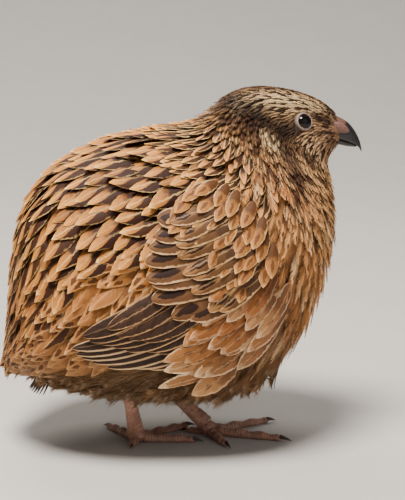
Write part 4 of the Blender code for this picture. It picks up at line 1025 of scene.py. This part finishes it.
for label, plan in legs.items():
    top, low = array(plan["ankle"]), array(plan["foot"])
    run = unit(low - top)
    front = unit(np.cross(run, array([0.0, 1.0, 0.0])))
    if front[0] < 0:
        front = -front
    sideways = np.cross(front, run)

    def tarsusPlace(u, v):
        turn = 2 * pi * u
        closed = closing(v, 40, 26, 0.5)
        facing = clip(cos(turn) * 1.6, 0, 1)
        step = saw(v * np.linalg.norm(low - top) / legValues["scuteLength"] + 0.5 * (sin(turn) > 0))
        seam = np.exp(-(sin(turn) / 0.12) ** 2) * facing
        relief = legValues["scuteDepth"] * (facing * (step - 1) - 0.8 * seam)
        radius = legValues["radius"] * curve(legValues["shape"], v * (len(legValues["shape"]) - 1)) + relief
        flat = cos(turn)[:, None] * front * radius[:, None]
        flat = flat + sin(turn)[:, None] * sideways * (radius * legValues["flatten"])[:, None]
        points = top + (low - top) * v[:, None] + flat * closed[:, None]
        points[:, 2] = np.maximum(points[:, 2], 0.6)
        return points, clip(facing * clip((0.25 - step) * 4, 0, 1) + seam * 0.7, 0, 1)

    leg = wrapGrid("leg" + label, legValues["columns"], legValues["rows"], tarsusPlace)
    finishPiece(leg, legMaterial, ("leg_" + label.lower(),))

    def padPlace(u, v):
        turn, polar = 2 * pi * u, pi * v
        bumps = sin(turn * 7) * sin(polar * 6)
        wide = sin(polar) * (legValues["padRadius"] + legValues["padBumps"] * bumps)
        high = np.maximum(legValues["padHeight"] + legValues["padDepth"] * cos(polar), 0.0)
        points = stack([low[0] + wide * cos(turn), low[1] + wide * sin(turn), high], -1)
        return points, clip(bumps, 0, 1) * 0.4

    pad = wrapGrid("pad" + label, legValues["padColumns"], legValues["padRows"], padPlace)
    finishPiece(pad, legMaterial)

    for toeName, (tip, toeRadius, clawLength) in plan["toes"].items():
        start, finish = array([*low[:2], 0.0]), array([*tip, 0.0])
        length = np.linalg.norm(finish - start)
        ahead = (finish - start) / length
        beside = array([-ahead[1], ahead[0], 0.0])
        end = length - clawLength + 0.5
        joints = 3 if length > 16 else 2

        def toePlace(u, v):
            turn = 2 * pi * u
            at = legValues["toeStart"] + (end - legValues["toeStart"]) * v
            share = clip((at - 4.0) / (end - 4.0), 0, 1)
            closed = closing(v, 30, 16, 0.5)
            knots = cos(2 * pi * joints * share)
            upper = clip(sin(turn) * 1.8 + 0.3, 0, 1)
            step = saw(at / legValues["toeScute"])
            thick = 1 + legValues["bulge"] * knots + 0.1 * clip(-sin(turn), 0, 1) * knots
            radius = toeRadius * (1 - legValues["taper"] * share) * thick * closed
            relief = legValues["toeDepth"] * upper * (step - 1) * closed
            points = start + ahead * at[:, None] + beside * ((radius + relief) * cos(turn))[:, None]
            points[:, 2] = np.maximum(radius * 0.92 + (radius + relief) * sin(turn), 0.0)
            return points, clip(upper * clip((0.3 - step) * 4, 0, 1), 0, 1)

        toe = wrapGrid("toe" + label + toeName, legValues["toeColumns"], legValues["toeRows"], toePlace)
        nodeName = "toe_" + label.lower() + "_" + toeName.lower()
        finishPiece(toe, legMaterial, (nodeName,))

        def clawPlace(u, v):
            turn = 2 * pi * u
            thick = toeRadius * legValues["clawWidth"] * (1 - v) ** 0.75 * clip(v * 20 + 0.4, 0, 1)
            at = length - clawLength - 0.2 + (clawLength + 0.2) * v
            rise = toeRadius * 0.75 * (1 - v ** 2) + 0.12
            points = start + ahead * at[:, None] + beside * (thick * 0.8 * cos(turn))[:, None]
            points[:, 2] = np.maximum(rise + thick * sin(turn), 0.02)
            return points

        claw = wrapGrid("claw" + label + toeName, legValues["clawColumns"], legValues["clawRows"], clawPlace)
        finishPiece(claw, clawMaterial, (nodeName + "_claw",))
print("stage: legs")


# Floor, light and camera

cameraValues = dict(distance=600.0, elevation=11.0, azimuth=-4.0, target=(7.2, 0.0, 68.0), mmPerPixel=0.35,
                    frameHeight=500, sensor=36.0)
elevation, azimuth = (math.radians(cameraValues[angle]) for angle in ("elevation", "azimuth"))
backward = Vector((math.sin(azimuth) * math.cos(elevation), -math.cos(azimuth) * math.cos(elevation),
                   math.sin(elevation)))
cameraData = bpy.data.cameras.new("camera")
camera = addObject("camera", cameraData)
camera.location = (Vector(cameraValues["target"]) + backward * cameraValues["distance"]) * mm
camera.rotation_euler = backward.to_track_quat("Z", "Y").to_euler()
frameMillimetres = cameraValues["mmPerPixel"] * cameraValues["frameHeight"]
cameraData.sensor_fit = "VERTICAL"
cameraData.sensor_height = cameraValues["sensor"]
cameraData.lens = cameraValues["sensor"] * cameraValues["distance"] / frameMillimetres
cameraData.clip_start = 0.01
cameraData.clip_end = 20.0
bpy.context.scene.camera = camera

# in metres: the sweep starts behind the bird and steepens
floorValues = dict(halfWidth=14.0, front=-16.0, back=4.0, sweepFrom=0.6, sweep=0.55, level=-0.0002, rows=200)
floorMaterial, tree, shader = newMaterial("floor", Roughness=0.9)
tree.links.new(nodeMix(tree, nodeNoise(tree, 60.0, 3.0), display(204, 198, 190), display(196, 190, 182)),
               shader.inputs["Base Color"])
bpy.ops.object.select_all(action="DESELECT")
bpy.ops.mesh.primitive_grid_add(x_subdivisions=2, y_subdivisions=floorValues["rows"], size=2.0)
floor = bpy.context.object
floor.name = "floor"
for vertex in floor.data.vertices:
    # level round the bird, and rising in one smooth sweep behind it
    y = floorValues["front"] + (floorValues["back"] - floorValues["front"]) * (vertex.co.y + 1) / 2
    sweep = floorValues["sweep"] * max(y - floorValues["sweepFrom"], 0.0) ** 2
    vertex.co = (vertex.co.x * floorValues["halfWidth"], y, sweep + floorValues["level"])
bpy.ops.object.shade_smooth()
floor.data.materials.append(floorMaterial)

lights = {
    "keyLight": dict(place=(-0.2, -0.38, 1.05), size=0.42, power=28.0, colour=(1.0, 0.97, 0.93)),
    "fillLight": dict(place=(0.6, -0.8, 0.5), size=1.2, power=2.4, colour=(0.97, 0.98, 1.0)),
    "backLight": dict(place=(-0.2, 0.6, 0.85), size=0.6, power=5.0, colour=(1.0, 0.98, 0.95)),
}
for lightName, values in lights.items():
    data = bpy.data.lights.new(lightName, "AREA")
    data.shape = "DISK"
    data.size = values["size"]
    data.energy = values["power"]
    data.color = values["colour"]
    lamp = addObject(lightName, data)
    lamp.location = values["place"]
    lamp.rotation_euler = (Vector(values["place"]) - Vector((0, 0, 0.06))).to_track_quat("Z", "Y").to_euler()

world = bpy.data.worlds.new("studio")
bpy.context.scene.world = world
world.use_nodes = True
background = world.node_tree.nodes["Background"]
background.inputs["Color"].default_value = (0.78, 0.77, 0.76, 1.0)
background.inputs["Strength"].default_value = 0.22
print("stage: camera and light")
